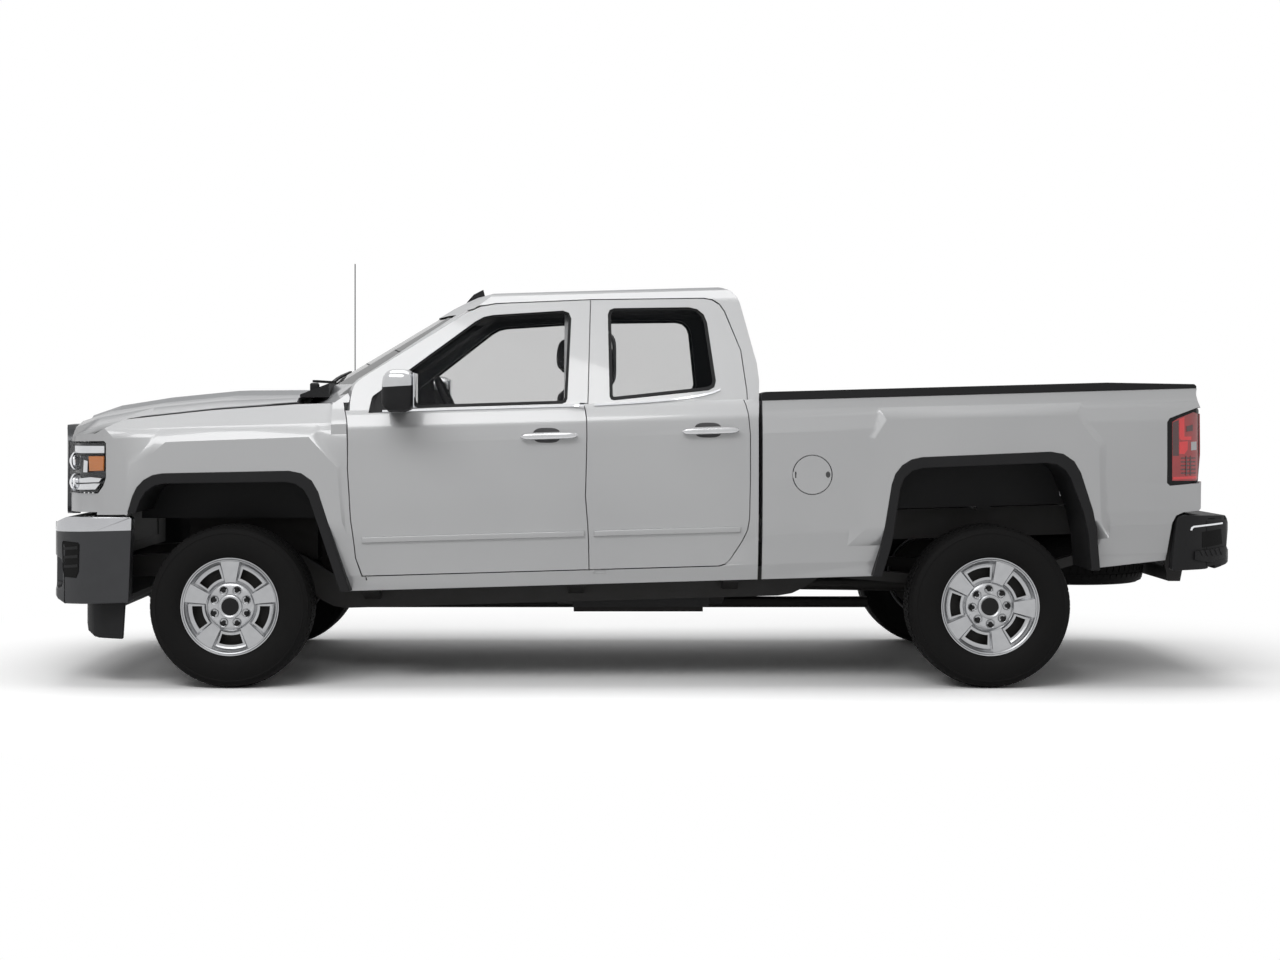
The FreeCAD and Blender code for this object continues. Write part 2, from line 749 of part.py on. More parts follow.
def arch_space(axle, front, y0, y1, grow=0.0):
    corners = arch_inner(axle, front, grow)
    if front:
        corners = [(axle - 473 - grow, 300)] + corners + [(axle + 543 + grow, 300)]
    else:
        corners = [(axle - 533 - grow, 300)] + corners + [(axle + 477 + grow, 300)]
    return slab(corners, side(y0), vec(0, float(y1) - float(y0), 0))


def lip_space(axle, front, y0, y1):
    corners = arch_outer(axle, front)
    first = (corners[0][0], 300)
    last = (corners[-1][0], 300)
    return slab([first] + corners + [last], side(y0), vec(0, float(y1) - float(y0), 0))


def build_fenders():
    band = skin_band(side_skin(fender_top_skin), panel, nose, door_front + 200)
    form = slab(fender_outline(), side(-1100), vec(0, 400, 0))
    wing = band.common(form)
    flare = bulge(front_axle, True).common(form)
    wing = join(wing, flare)
    wing = wing.common(whole_front())
    hood_room = block(front_axle + 190, front_axle + 316, -907, -700, 1315, 1450)
    wing = cut(wing, lip_space(front_axle, True, -1100, -700), lower_prism(False, float(shut_gap)), hood_room)
    piece("front_fenders", wing, mirrored(wing))


def hood_section(x, half, edge, middle, deep):
    """Cross-section of the hood with its raised centre."""
    crease = middle - 24
    top = [(half, edge), (half - 60, edge + (crease - edge) * 0.55), (610, crease - 4), (455, crease),
           (400, middle), (0, middle + 6)]
    left = [(-c[0], c[1]) for c in top[:-1]]
    under = [(half - 8, edge - 28), (0, middle - deep), (-(half - 8), edge - 28)]
    place = cross(x)
    return [place(c[0], c[1]) for c in left + list(reversed(top)) + under]


def build_hood():
    stations = [(nose + 155, 800, 1236, 1334), (nose + 300, 858, 1284, 1380), (nose + 560, 884, 1330, 1414),
                (nose + 900, 896, 1354, 1438), (front_axle + 312, 902, 1371, 1430)]
    shape = loft([hood_section(x, half, float(edge), float(middle), 52) for x, half, edge, middle in stations])
    pin_x, pin_z = hood_pin()
    notch = block(pin_x - 14, pin_x + 90, -742, -700, pin_z - 200, pin_z + 9.5)
    rest = slab(fender_outline(), side(-1100), vec(0, 257, 0))
    rest.translate(vec(0, 0, 5))
    shape = cut(shape, notch, mirrored(notch), rest, mirrored(rest))
    piece("hood", shape)


def hood_pin():
    x = front_axle + 260
    return x, belt + 58 + lift(x)


def hood_hinge():
    """Barrel for the hood on an arm that comes forward from the cowl, under the closed hood."""
    x, z = hood_pin()
    barrel = bar((x, -741.6, z), (x, -700.4, z), 8, 10)
    post = block(x - 6, x + 6, -735, -707, z - 95, z)
    foot = block(x - 6, front_axle + 492, -735, -707, z - 95, z - 70)
    return join(barrel, post, foot)


def build_grille():
    z_low = 850
    outer = [(-652, z_low, 60), (-700, belt - 110, 50), (-640, belt - 22, 60), (640, belt - 22, 60),
             (700, belt - 110, 50), (652, z_low, 60)]
    inner = [(-590, z_low + 62, 40), (-622, belt - 112, 40), (-580, belt - 82, 40), (580, belt - 82, 40),
             (622, belt - 112, 40), (590, z_low + 62, 40)]
    depth = vec(260, 0, 0)
    x = nose - 20
    frame = slab(outer, cross(x), depth).cut(slab(inner, cross(x), depth))
    shell = whole_front(6).cut(whole_front(70))
    face = [(nose + 4, 800), (nose + 4, belt - 75, 60), (nose + 60, belt - 32, 30), (nose + 150, belt - 22),
            (nose + 150, 800)]
    form = slab(face, side(-900), vec(0, 1800, 0))
    frame = frame.common(shell).common(form)
    bars = []
    inner_form = slab(inner, cross(x), depth)
    for k in range(1, 4):
        level = z_low + 62 + 86 * k
        strip = slab([(-700, level), (700, level), (700, level + 30), (-700, level + 30)], cross(x), depth)
        bars.append(whole_front(14, 800).cut(whole_front(42, 800)).common(strip).common(inner_form))
    posts = 11
    pitch = 1140.0 / (posts + 1)
    for k in range(posts):
        y = -570 + pitch * (k + 1)
        line = whole_front(44, 800).cut(whole_front(58, 800))
        bars.append(line.common(block(x, nose + 200, y - 5, y + 5, 820, 1260)).common(form))
    piece("grille", join(frame, *bars))


def lamp_outline():
    lamp_x = front_axle - 596
    return [(nose + 60, 952, 8), (lamp_x - 55, 952, 10), (lamp_x - 3, 1012, 60), (lamp_x - 3, 1204, 12),
            (nose + 60, 1204, 8)]


def build_headlamps():
    form = slab(lamp_outline(), side(-1000), vec(0, 290, 0))
    lamp = form.common(whole_front(14)).cut(whole_front(120))
    piece("headlamps", lamp, mirrored(lamp))


def bumper_profile():
    return [(nose + 490, 842, 12), (nose + 160, 846, 30), (nose + 60, 812, 60), (nose, 690, 60),
            (nose + 2, 560, 60), (nose + 30, 470, 80), (nose + 150, 425), (nose + 474, 425)]


def bumper_plan(setback=0.0):
    half = [(nose + setback, 0), (nose + 6 + setback, 480, 900), (nose + 90 + setback, 880 - setback, 160),
            (nose + 240 + setback, half_width - 26 - setback, 240), (nose + 496, half_width - 14 - setback)]
    right = [(c[0], -c[1]) + tuple(c[2:]) for c in reversed(half)]
    return half + right[:-1]


def build_front_bumper():
    form = slab(bumper_profile(), side(-1100), vec(0, 2200, 0))
    shell = slab(bumper_plan(), plan(300), vec(0, 0, 700)).common(form)
    hollow = slab(bumper_plan(66), plan(300), vec(0, 0, 700))
    hollow = hollow.common(join(block(nose, nose + 600, -1100, 1100, 440, 800),
                                block(nose + 180, nose + 600, -1100, 1100, 440, 900)))
    fog = slab([(-905, 500, 30), (-905, 655, 40), (-735, 655, 40), (-735, 500, 30)], cross(nose - 10),
               vec(170, 0, 0)).common(slab(bumper_plan(-5), plan(300), vec(0, 0, 700)))
    fog = fog.cut(slab(bumper_plan(40), plan(300), vec(0, 0, 700)))
    intake = slab([(-560, 478, 30), (-590, 600, 30), (590, 600, 30), (560, 478, 30)], cross(nose - 10),
                  vec(200, 0, 0))
    tyre_room = block(nose + 455, nose + 600, -870, 870, 400, 441)
    shape = cut(shell, hollow, fog, mirrored(fog), intake, tyre_room)
    piece("front_bumper", shape)
    skirt_profile = [(nose + 185, 424.7), (nose + 222, 290, 30), (nose + 290, 250, 40), (nose + 428, 244),
                     (nose + 440, 424.7)]
    skirt = slab(skirt_profile, side(-1100), vec(0, 2200, 0))
    skirt_plan = [(nose + 188, -560, 300), (nose + 230, -860, 160), (nose + 470, -930), (nose + 470, -905),
                  (nose + 250, -832, 140), (nose + 216, -560, 300), (nose + 216, 560, 300),
                  (nose + 250, 832, 140), (nose + 470, 905), (nose + 470, 930), (nose + 230, 860, 160),
                  (nose + 188, 560, 300)]
    skirt = skirt.common(slab(skirt_plan, plan(150), vec(0, 0, 400)))
    piece("air_dam", skirt)


def build_radiator():
    """Radiator in its support, which also carries the grille, the lamps and the fenders' front ends."""
    x = nose + 236
    low = 592.2
    behind = nose + 359.3
    frame = block(x, x + 46, -700, 700, low, 1190)
    parts = [frame.cut(block(x - 5, x + 60, -520, 520, low + 50, 1130)),
             block(x + 4, x + 42, -520, 520, low + 50, 1130)]
    arms = [block(x, behind + 24, -700, -680, 950, 1050),
            block(behind, behind + 24, -half_width + panel + 0.3, -680, 950, 1050),
            block(nose + 60, x + 5, -662, -640, 1000, 1050).common(whole_front(70.3))]
    for arm in arms:
        parts.extend([arm, mirrored(arm)])
    piece("radiator", join(*parts))


def build_arches():
    """Black arch lips with the liner behind each."""
    arches = []
    for axle, front in ((front_axle, True), (rear_axle, False)):
        lip = lip_space(axle, front, -half_width - flare_proud - 4, -half_width + 60)
        lip = lip.cut(arch_space(axle, front, -1100, -500))
        depth = -640 if front else -660.4
        liner = arch_space(axle, front, -half_width + 60, depth, 6).cut(arch_space(axle, front, -1100, -500))
        keep = slab([(axle - 700, sill + 4), (axle + 700, sill + 4), (axle + 700, 1500), (axle - 700, 1500)],
                    side(-1100), vec(0, 600, 0))
        if front:
            keep = keep.cut(block(axle - 700, axle - 200, -1100, -500, 0, 860 + lift(axle - 470)))
        arch = join(lip, liner).common(keep)
        arches.extend([arch, mirrored(arch)])
    piece("wheel_arches", *arches)


# Cargo bed, rail caps, tailgate and fuel door

tailgate_half = bed_half - 43
tailgate_face = bed_rear + 15
tailgate_wall = size("tailgate_thickness", 62)
tailgate_low = size("tailgate_low_edge", 862)
tailgate_pin_lift = size("tailgate_pin_lift", 23)


def tailgate_pin():
    return tailgate_face - 25, tailgate_low + tailgate_pin_lift


def bed_outline():
    return [(bed_front, sill), (bed_front, rail_height), (bed_rear - 4, rail_height),
            (bed_rear - 9, rail_height - 28, 30), (bed_rear - 2, rail_height - 62, 40),
            (bed_rear + 10, rail_height - 100), (bed_rear + 10, 724, 10), (bed_rear - 120, 716, 60),
            (bed_rear - 146, 486), (rear_axle + 515, sill + 8), (rear_axle - 577, sill - 4)]


def tail_lamp_outline():
    x0 = bed_rear - 154
    return [(x0, 846, 14), (x0, belt - 152, 20), (bed_rear - 2, belt - 99, 10), (bed_rear + 22, belt - 108, 20),
            (bed_rear + 24, 1000), (bed_rear + 12, 856, 12)]


def fuel_door_centre():
    x = bed_front + 238
    return x, 949 + lift(x)


fuel_radius = size("fuel_door_radius", 92)


def build_bed():
    skin = side_skin(bed_top_skin)
    outer = [(-c[0],) + tuple(c[1:]) for c in skin]
    run = float(bed_rear) - float(bed_front) + 160
    section = outer + [(-bed_half, rail_height), (-bed_half, bed_floor - 60), (-half_width + 110, bed_floor - 60),
                       (-half_width + 110, sill)]
    band = slab(section, swept(bed_front), along(run))
    form = slab(bed_outline(), side(-1100), vec(0, 500, 0))
    sidewall = band.common(form)
    flare = bulge(rear_axle, False).common(form)
    sidewall = join(sidewall, flare)
    house_x0 = rear_axle - 480
    house_x1 = rear_axle + 420
    house = slab([(house_x0, bed_floor - 30), (house_x0 + 60, 1000, 60), (house_x1 - 60, 1000, 60),
                  (house_x1, bed_floor - 30)], side(-bed_half), vec(0, 175, 0))
    sidewall = join(sidewall, house)
    lamp = slab(tail_lamp_outline(), side(-1100), vec(0, 1100 - 862, 0))
    fx, fz = fuel_door_centre()
    pocket = rod((fx, -half_width - 30, fz), (fx, -half_width + 34, fz), fuel_radius + shut_gap)
    arch = arch_space(rear_axle, False, -1100, -660, 6.0)
    tools = [lip_space(rear_axle, False, -1100, -half_width + 60), arch, lamp]
    left = cut(sidewall, pocket, *tools)
    right = mirrored(cut(sidewall, *tools))
    floor = slab([(bed_front, bed_floor - 40), (bed_front, bed_floor), (bed_rear - 62, bed_floor),
                  (bed_rear - 62, bed_floor - 40)], side(-bed_half), vec(0, 2 * float(bed_half), 0))
    square_on = RAKE * (float(rail_height) - float(bed_floor) + 40) + 1
    front_wall = slab([(bed_front, bed_floor - 40), (bed_front, rail_height),
                       (bed_front + 50 - square_on, rail_height), (bed_front + 50, bed_floor - 40)],
                      side(-bed_half), vec(0, 2 * float(bed_half), 0))
    wheel_cut = [arch, mirrored(arch)]
    ribs = []
    for x in bed_sill_stations():
        ribs.append(slab([(x - 35, rail_top_rear), (x - 35, bed_floor - 38), (x + 35, bed_floor - 38),
                          (x + 35, rail_top_rear)], side(-bed_half), vec(0, 2 * float(bed_half), 0)))
    posts = []
    for y0, y1 in ((-bed_half - 2, -tailgate_half - shut_gap),):
        posts.append(slab([(bed_rear - 118, 730), (bed_rear - 118, rail_height), (bed_rear - 4, rail_height),
                           (bed_rear + 10, rail_height - 100), (bed_rear + 10, 730)],
                          side(y0), vec(0, float(y1) - float(y0), 0)))
    px, pz = tailgate_pin()
    trunnion = bar((px, -tailgate_half - shut_gap - 10, pz), (px, -tailgate_half + 22, pz), pin_radius - 2, 12)
    posts.append(trunnion)
    fuel_barrel = fuel_hinge()
    parts = [left, right, floor, front_wall] + ribs + posts + [mirrored(p) for p in posts] + [fuel_barrel]
    bed = join(*parts)
    bed = cut(bed, *wheel_cut)
    piece("cargo_bed", bed)


rail_top_rear = rail_low + rail_deep + 270


def bed_sill_stations():
    return (bed_front + 120, bed_front + 560, rear_axle + 30, rear_axle + 480, bed_rear - 150)


def fuel_hinge():
    fx, fz = fuel_door_centre()
    x = fx - fuel_radius + 6
    y = -half_width + 5
    z = fz - 14
    arm = block(x - 9, x + 3, y - 3, y + 3, z, z + 28)
    leg = block(x - 9, x - 3, y - 3, -half_width + 36, z, z + 28)
    return join(arm, leg)


def build_fuel_door():
    fx, fz = fuel_door_centre()
    body = new_body("fuel_door")
    sides = 32
    ring = [(fuel_radius * cos(2 * pi * k / sides), fuel_radius * sin(2 * pi * k / sides)) for k in range(sides)]
    drawing = sketch(body, "FuelDoorDisc", "XZ_Plane", ring)
    disc = body.newObject("PartDesign::Pad", "FuelDoorPad")
    disc.Profile = drawing
    disc.Length = 9
    notch = sketch(body, "FuelHingeNotch", "XZ_Plane",
                   [(-fuel_radius - 5, -14.4), (-fuel_radius + 15, -14.4), (-fuel_radius + 15, 14.4),
                    (-fuel_radius - 5, 14.4)])
    doc.recompute()
    pocket = body.newObject("PartDesign::Pocket", "FuelHingePocket")
    pocket.Profile = notch
    pocket.Length = 30
    pocket.Reversed = True
    doc.recompute()
    if abs(body.Shape.Volume - disc.Shape.Volume) < 1.0:
        pocket.Reversed = False
        doc.recompute()
    finish_body(body, FreeCAD.Placement(vec(fx, -half_width + 9.5, fz), FreeCAD.Rotation()))


def build_rail_caps():
    form = slab([(bed_front - 6, rail_height + 0.0), (bed_front - 6, rail_height + cap_height - 6, 8),
                 (bed_front + 20, rail_height + cap_height, 10), (rear_axle + 560, rail_height + cap_height - 2, 900),
                 (bed_rear - 6, rail_height + 20, 10), (bed_rear - 6, rail_height)],
                side(-half_width + 22), vec(0, float(half_width) - 22 - float(bed_half) + 12, 0))
    piece("bed_rail_caps", form, mirrored(form))


def build_tailgate():
    px, pz = tailgate_pin()
    top = rail_height + 18 + lift(tailgate_face)
    form = slab([(tailgate_face - tailgate_wall, tailgate_low, 14), (tailgate_face - tailgate_wall, top, 8),
                 (tailgate_face + 4, top, 8), (tailgate_face + 4, top - 34, 10), (tailgate_face - 8, top - 60, 20),
                 (tailgate_face, top - 150, 200), (tailgate_face - 2, tailgate_low, 14)],
                profile(-tailgate_half), vec(0, 2 * float(tailgate_half), 0))
    bore = (pin_radius - 2 + running_gap) / cos(pi / 12)
    bores = [bar((px, -tailgate_half - 2, pz), (px, -tailgate_half + 24, pz), bore, 12)]
    bores.append(mirrored(bores[0]))
    recess = slab([(-170, top - 190, 12), (-170, top - 95, 12), (170, top - 95, 12), (170, top - 190, 12)],
                  upright(tailgate_face - 22), vec(60, 0, 0))
    latch = slab([(-110, top - 168, 10), (-110, top - 116, 10), (110, top - 116, 10), (110, top - 168, 10)],
                 upright(tailgate_face - 24), vec(16, 0, 0))
    form = join(cut(form, recess, *bores), latch)
    piece("tailgate", form)


def build_tail_lamps():
    form = slab(tail_lamp_outline(), side(-1000), vec(0, 137, 0))
    half = [(bed_rear - 200, -half_width + 4), (bed_rear - 60, -half_width + 8, 200),
            (bed_rear + 24, -half_width + 60, 60), (bed_rear + 26, -850), (bed_rear - 200, -850)]
    lamp = form.common(slab(half, plan(600), vec(0, 0, 1000)))
    piece("tail_lamps", lamp, mirrored(lamp))


def build_rear_bumper():
    z0 = 568
    high = 838
    section = [(bed_rear - 134, z0, 10), (bed_rear - 104, high - 2, 30), (bed_rear + 176, high - 10, 24),
               (bed_rear + 196, 786, 14), (bed_rear + 180, 660, 14), (tail, 650, 6), (tail, 606, 10),
               (bed_rear + 110, z0 + 6)]
    form = slab(section, profile(-1100), vec(0, 2200, 0))
    half = [(tail, 0), (tail, 700, 60), (tail - 60, 880, 120), (bed_rear - 20, half_width - 10, 160),
            (bed_rear - 140, half_width - 2)]
    outer = half + [(c[0], -c[1]) + tuple(c[2:]) for c in reversed(half[1:])]
    form = form.common(slab(outer, plan(400), vec(0, 0, 600)))
    hollow = block(bed_rear - 150, bed_rear + 96, -half_width + 60, half_width - 60, 500, high - 24)
    over = block(bed_rear - 150, bed_rear + 26, -half_width + 62, half_width - 62, 500, high + 20)
    plate = block(bed_rear + 120, tail + 10, -190, 190, 640, 800)
    form = cut(form, hollow, over, plate)
    piece("rear_bumper", form)


# Ladder frame, body mounts and hitch

def rail_side():
    """Side outline of a frame rail: front horn, middle run and the kick over the rear axle."""
    low = rail_low
    high = rail_low + rail_deep
    up = 270
    horn = nose + 77.6
    return ([(horn, low + 200), (front_axle - 500, low + 190, 200), (front_axle + 200, low + 180, 200),
             (front_axle + 430, low, 200), (rear_axle - 900, low, 250), (rear_axle - 480, low + up, 250),
             (bed_rear - 70, low + up)],
            [(bed_rear - 70, high + up), (rear_axle - 520, high + up, 250), (rear_axle - 940, high, 250),
             (front_axle + 470, high, 200), (front_axle + 240, high + 150, 200),
             (front_axle - 500, high + 150, 200), (horn, high + 130)])


def build_frame():
    under, over = rail_side()
    y = -rail_half
    web = slab(under + over, side(y), vec(0, rail_wide, 0))
    steel = float(rail_steel)
    inner = [(c[0], c[1] + steel) + tuple(c[2:]) for c in under]
    inner = inner + [(c[0], c[1] - steel) + tuple(c[2:]) for c in over]
    hollow = slab(inner, side(y + rail_steel), vec(0, rail_wide, 0))
    rail = web.cut(hollow)
    parts = [rail, mirrored(rail)]
    half = rail_half - rail_steel / 2
    members = [(nose + 130, 560, 600, 0), (front_axle - 420, 530, 600, 0), (front_axle + 560, 400, 460, 95),
               (pillar_line - 120, 340, 440, 60), (door_rear - 120, 340, 440, 82),
               (rear_axle - 380, 645, 730, 0), (rear_axle + 330, 640, 730, 0), (rear_axle + 607, 620, 700, 0),
               (bed_rear - 130, 610, 720, 0)]
    for x, low, high, dip in members:
        member = [(-half, low), (-half, high), (-220, high), (-175, high - dip * 1.6), (175, high - dip * 1.6),
                  (220, high), (half, high), (half, low), (180, low - dip), (-180, low - dip)]
        if dip == 0:
            member = [(-half, low), (-half, high), (half, high), (half, low)]
        parts.append(slab(member, cross(x - 40), vec(80, 0, 0)))
    # Front suspension member with its arm brackets, spring hangers and hitch arms
    parts.append(block(front_axle + 30, front_axle + 90, -half, half, 380, 512))
    for y0, y1 in ((-rail_half, -rail_half + 40),):
        for x in (front_axle - 180, front_axle + 180):
            bracket = block(x - 22, x + 22, y0, y1, arm_low, 522)
            parts.extend([bracket, mirrored(bracket)])
    hangers = [block(rear_axle - 742, rear_axle - 690, -spring_out, -rail_half + 4, 545, 660),
               block(rear_axle + 690, rear_axle + 742, -spring_out, -rail_half + 4, 668, 790),
               slab([(bed_rear - 190, 728), (bed_rear - 190, 850), (bed_rear + 16, 850), (bed_rear + 20, 800),
                     (bed_rear + 95.7, 780), (bed_rear + 95.7, 600), (bed_rear + 70, receiver_low),
                     (bed_rear + 10, receiver_low), (bed_rear - 40, 700)], profile(-rail_half), vec(0, 12, 0))]
    spare_x = rear_axle + 607
    parts.append(bar((spare_x, 0, 435.3 + float(tyre_width)), (spare_x, 0, 640 + lift(spare_x)), 16, 10))
    for hanger in hangers:
        parts.extend([hanger, mirrored(hanger)])
    for x in mount_stations():
        top = cab_underside + lift(x) - 0.4
        bracket = slab([(-rail_half - 120, rail_low + 90), (-rail_half - 120, rail_low + rail_deep - 10),
                        (-rail_half + 5, rail_low + rail_deep - 10), (-rail_half + 5, rail_low + 40)],
                       cross(x - 40), vec(80, 0, 0))
        puck = bar((x, -rail_half - 70, rail_low + rail_deep - 20 + lift(x)), (x, -rail_half - 70, top + 40),
                   42, 12)
        crop = slab([(x - 60, 0), (x + 60, 0), (x + 60, cab_underside - 0.4), (x - 60, cab_underside - 0.4)],
                    side(-1000), vec(0, 1000, 0))
        puck = puck.common(crop)
        parts.extend([bracket, puck, mirrored(bracket), mirrored(puck)])
    frame = join(*parts)
    piece("ladder_frame", frame)


arm_low = size("lower_arm_height", 262)
arm_thick = size("control_arm_thickness", 30)
arm_high = size("upper_arm_height", 600)
spring_out = size("leaf_spring_outer", 592)
receiver_low = size("receiver_underside", 470)
hub_face = wheel_half - 38
rod_level = size("tie_rod_height", 352)
steer_radius = size("steering_arm_radius", 140)


def build_hitch():
    """Cross tube with a square receiver and its pin bore."""
    outer = receiver_tube + 2 * receiver_steel
    x0 = bed_rear + 12
    cross_tube = block(x0, x0 + 58, -rail_half + 12, rail_half - 12, receiver_low, receiver_low + outer)
    tube = block(x0, bed_rear + 190, -outer / 2, outer / 2, receiver_low, receiver_low + outer)
    hole = block(x0 + 20, tail, -receiver_tube / 2, receiver_tube / 2, receiver_low + receiver_steel,
                 receiver_low + receiver_steel + receiver_tube)
    pin_x = bed_rear + 130
    middle = receiver_low + outer / 2
    pin = rod((pin_x, -100, middle), (pin_x, 100, middle), receiver_pin / 2)
    piece("hitch_receiver", cut(join(cross_tube, tube), hole, pin))


def build_wheels():
    for end, axle in (("front", front_axle), ("rear", rear_axle)):
        for hand, sign in (("left", -1), ("right", 1)):
            place = FreeCAD.Placement(vec(axle, sign * wheel_half, tyre_radius), FreeCAD.Rotation())
            finish_body(tyre_body("%s_tyre_%s" % (end, hand)), place)
        left = rim()
        left.rotate(vec(0, 0, 0), vec(0, 1, 0), 0 if end == "front" else 20)
        left.translate(vec(axle, -wheel_half, tyre_radius))
        piece(end + "_rim_left", left)
        piece(end + "_rim_right", mirrored(left))


def tyre_body(name):
    body = new_body(name)
    half = tyre_width / 2
    corners = [(rim_radius, -half), (tyre_radius - 24, -half), (tyre_radius, -half + 11),
               (tyre_radius, half - 11), (tyre_radius - 24, half), (rim_radius, half)]
    revolve(body, sketch(body, name + "_profile", "XY_Plane", corners), name + "_turned")
    return body


lug_circle = size("lug_circle_radius", 90)
rim_windows = 5
rim_lugs = 8


def rim():
    """Dished alloy wheel with its brake disc: five windows in the face and eight stud nuts."""
    seat = rim_width / 2
    face = -84
    behind = -50
    sides = 36
    drum = bar((0, -seat, 0), (0, seat, 0), rim_radius - 0.2, sides)
    front_dish = bar((0, -seat - 5, 0), (0, face, 0), rim_radius - 24, sides)
    back_dish = bar((0, behind, 0), (0, seat + 5, 0), rim_radius - 24, sides)
    window = slab([(-58, 196), (-46, 138), (46, 138), (58, 196)], profile(face - 5),
                  vec(0, behind - face + 10, 0))
    windows = []
    for k in range(rim_windows):
        turned = window.copy()
        turned.rotate(vec(0, 0, 0), vec(0, 1, 0), 36 + 72 * k)
        windows.append(turned)
    wheel = cut(drum, front_dish, back_dish, *windows)
    hub = bar((0, behind - 5, 0), (0, 38, 0), 95, 16)
    cap = bar((0, face - 18, 0), (0, face + 5, 0), 44, 16)
    extras = [hub, cap]
    for k in range(rim_lugs):
        angle = 2 * pi * (k + 0.5) / rim_lugs
        spot = (lug_circle * sin(angle), lug_circle * cos(angle))
        extras.append(bar((spot[0], face - 16, spot[1]), (spot[0], face + 5, spot[1]), 13, 6))
    return join(wheel, *extras)


def build_spare():
    x = rear_axle + 607
    low = 435
    wheel = bar((x, 0, low), (x, 0, tyre_width + low), tyre_radius, 48)
    recess = bar((x, 0, low - 5), (x, 0, low + 90), 185, 32)
    piece("spare_wheel", cut(wheel, recess))


def build_knuckles():
    top = arm_high - running_gap
    low = arm_low + arm_thick + running_gap
    y = -kingpin
    upright_part = block(front_axle - 28, front_axle + 28, y - 25, y + 25, low, top)
    hub = bar((front_axle, y + 25, tyre_radius), (front_axle, -hub_face + 0.3, tyre_radius), hub_radius, 20)
    arm = slab([(front_axle, y - 16), (front_axle + steer_radius, y - 16, 15),
                (front_axle + steer_radius + 16, y, 15), (front_axle + steer_radius, y + 16, 15),
                (front_axle, y + 16)], plan(rod_level - 24), vec(0, 0, 24))
    left = join(upright_part, hub, arm)
    piece("knuckle_left", left)
    piece("knuckle_right", mirrored(left))
    x = front_axle + steer_radius
    link = block(x - 11, x + 11, y, -y, rod_level + running_gap, rod_level + 20)
    eyes = [bar((x, s * kingpin, rod_level + running_gap), (x, s * kingpin, rod_level + 22), 17, 12)
            for s in (-1, 1)]
    piece("tie_rods", join(link, *eyes))


def build_front_suspension():
    reach = kingpin + 18
    lower = slab([(front_axle - 202, -rail_half), (front_axle + 202, -rail_half), (front_axle + 34, -reach, 20),
                  (front_axle - 34, -reach, 20)], plan(arm_low), vec(0, 0, arm_thick))
    gap = slab([(front_axle - 120, -rail_half - 30), (front_axle + 120, -rail_half - 30),
                (front_axle, -reach + 90)], plan(arm_low - 5), vec(0, 0, 100))
    lower = lower.cut(gap)
    upper = slab([(front_axle - 150, -rail_half), (front_axle + 150, -rail_half), (front_axle + 30, -reach, 20),
                  (front_axle - 30, -reach, 20)], plan(arm_high), vec(0, 0, arm_thick * 0.8))
    gap = slab([(front_axle - 92, -rail_half - 24), (front_axle + 92, -rail_half - 24),
                (front_axle, -reach + 80)], plan(arm_high - 5), vec(0, 0, 100))
    upper = upper.cut(gap)
    casing = block(front_axle - 130, front_axle + 30, -150, 150, 300, 470)
    shafts = [bar((front_axle, s * 150, tyre_radius), (front_axle, s * (kingpin - 52), tyre_radius), 24, 12)
              for s in (-1, 1)]
    axle = join(casing, *shafts)
    piece("front_suspension", lower, upper, mirrored(lower), mirrored(upper), axle)


def build_rear_axle():
    z = tyre_radius
    tube = bar((rear_axle, -hub_face + 0.3, z), (rear_axle, hub_face - 0.3, z), 48)
    pumpkin = bar((rear_axle, -140, z), (rear_axle, 140, z), 165, 16)
    snout = bar((rear_axle - 250, 0, z + 20), (rear_axle - 100, 0, z + 20), 62)
    plates = [block(rear_axle - 60, rear_axle + 60, s * 560 - 46, s * 560 + 46, z + 20, z + 60) for s in (-1, 1)]
    flanges = [bar((rear_axle, s * (hub_face - 0.3), z), (rear_axle, s * (hub_face - 60), z), 85)
               for s in (-1, 1)]
    piece("rear_axle", join(tube, pumpkin, snout, *(plates + flanges)))
    seat = z + 60
    low = [(rear_axle - 742, 545), (rear_axle - 742, 500), (rear_axle - 700, 500), (rear_axle - 120, seat, 500),
           (rear_axle + 120, seat, 500), (rear_axle + 700, 622), (rear_axle + 742, 622), (rear_axle + 742, 668)]
    high = [(rear_axle + 690, 668), (rear_axle + 140, seat + 56, 500), (rear_axle - 140, seat + 56, 500),
            (rear_axle - 690, 545)]
    leaf = slab(low + high, profile(-spring_out), vec(0, 64, 0))
    piece("leaf_springs", leaf, mirrored(leaf))


def build_powertrain():
    engine = block(front_axle - 330, front_axle + 330, -300, 300, 570, 1120)
    arms = [block(front_axle - 60, front_axle + 60, s * 300 - (170 if s < 0 else 0),
                  s * 300 + (170 if s > 0 else 0), 622, 655) for s in (-1, 1)]
    bell = slab([(front_axle + 330, 420), (front_axle + 330, 790), (front_axle + 620, 660),
                 (front_axle + 1170, 600), (front_axle + 1240, 500), (front_axle + 1240, 330),
                 (front_axle + 700, 330), (front_axle + 560, 470)], profile(-170), vec(0, 340, 0))
    shaft = bar((front_axle + 1235, 0, 440), (rear_axle - 251.2, 0, tyre_radius + 20), 36)
    piece("powertrain", join(engine, bell, shaft, *arms))


def build_tank_and_exhaust():
    x0 = pillar_line - 80
    x1 = door_rear - 160
    tank = block(x0 + 0.3, x1 - 0.3, -rail_half + rail_wide + 5, -95, 330, 455)
    piece("fuel_tank", tank)
    muffler = block(x0 + 0.3, x1 - 0.3, 150, 370, 250, 410)
    pipe = bar((front_axle + 500, 255, 292), (x0 + 2, 255, 292), 30, 12)
    tail_pipe = bar((x1 - 2, 255, 292), (rear_axle - 420, 255, 292), 30, 12)
    piece("exhaust", join(muffler, pipe, tail_pipe))


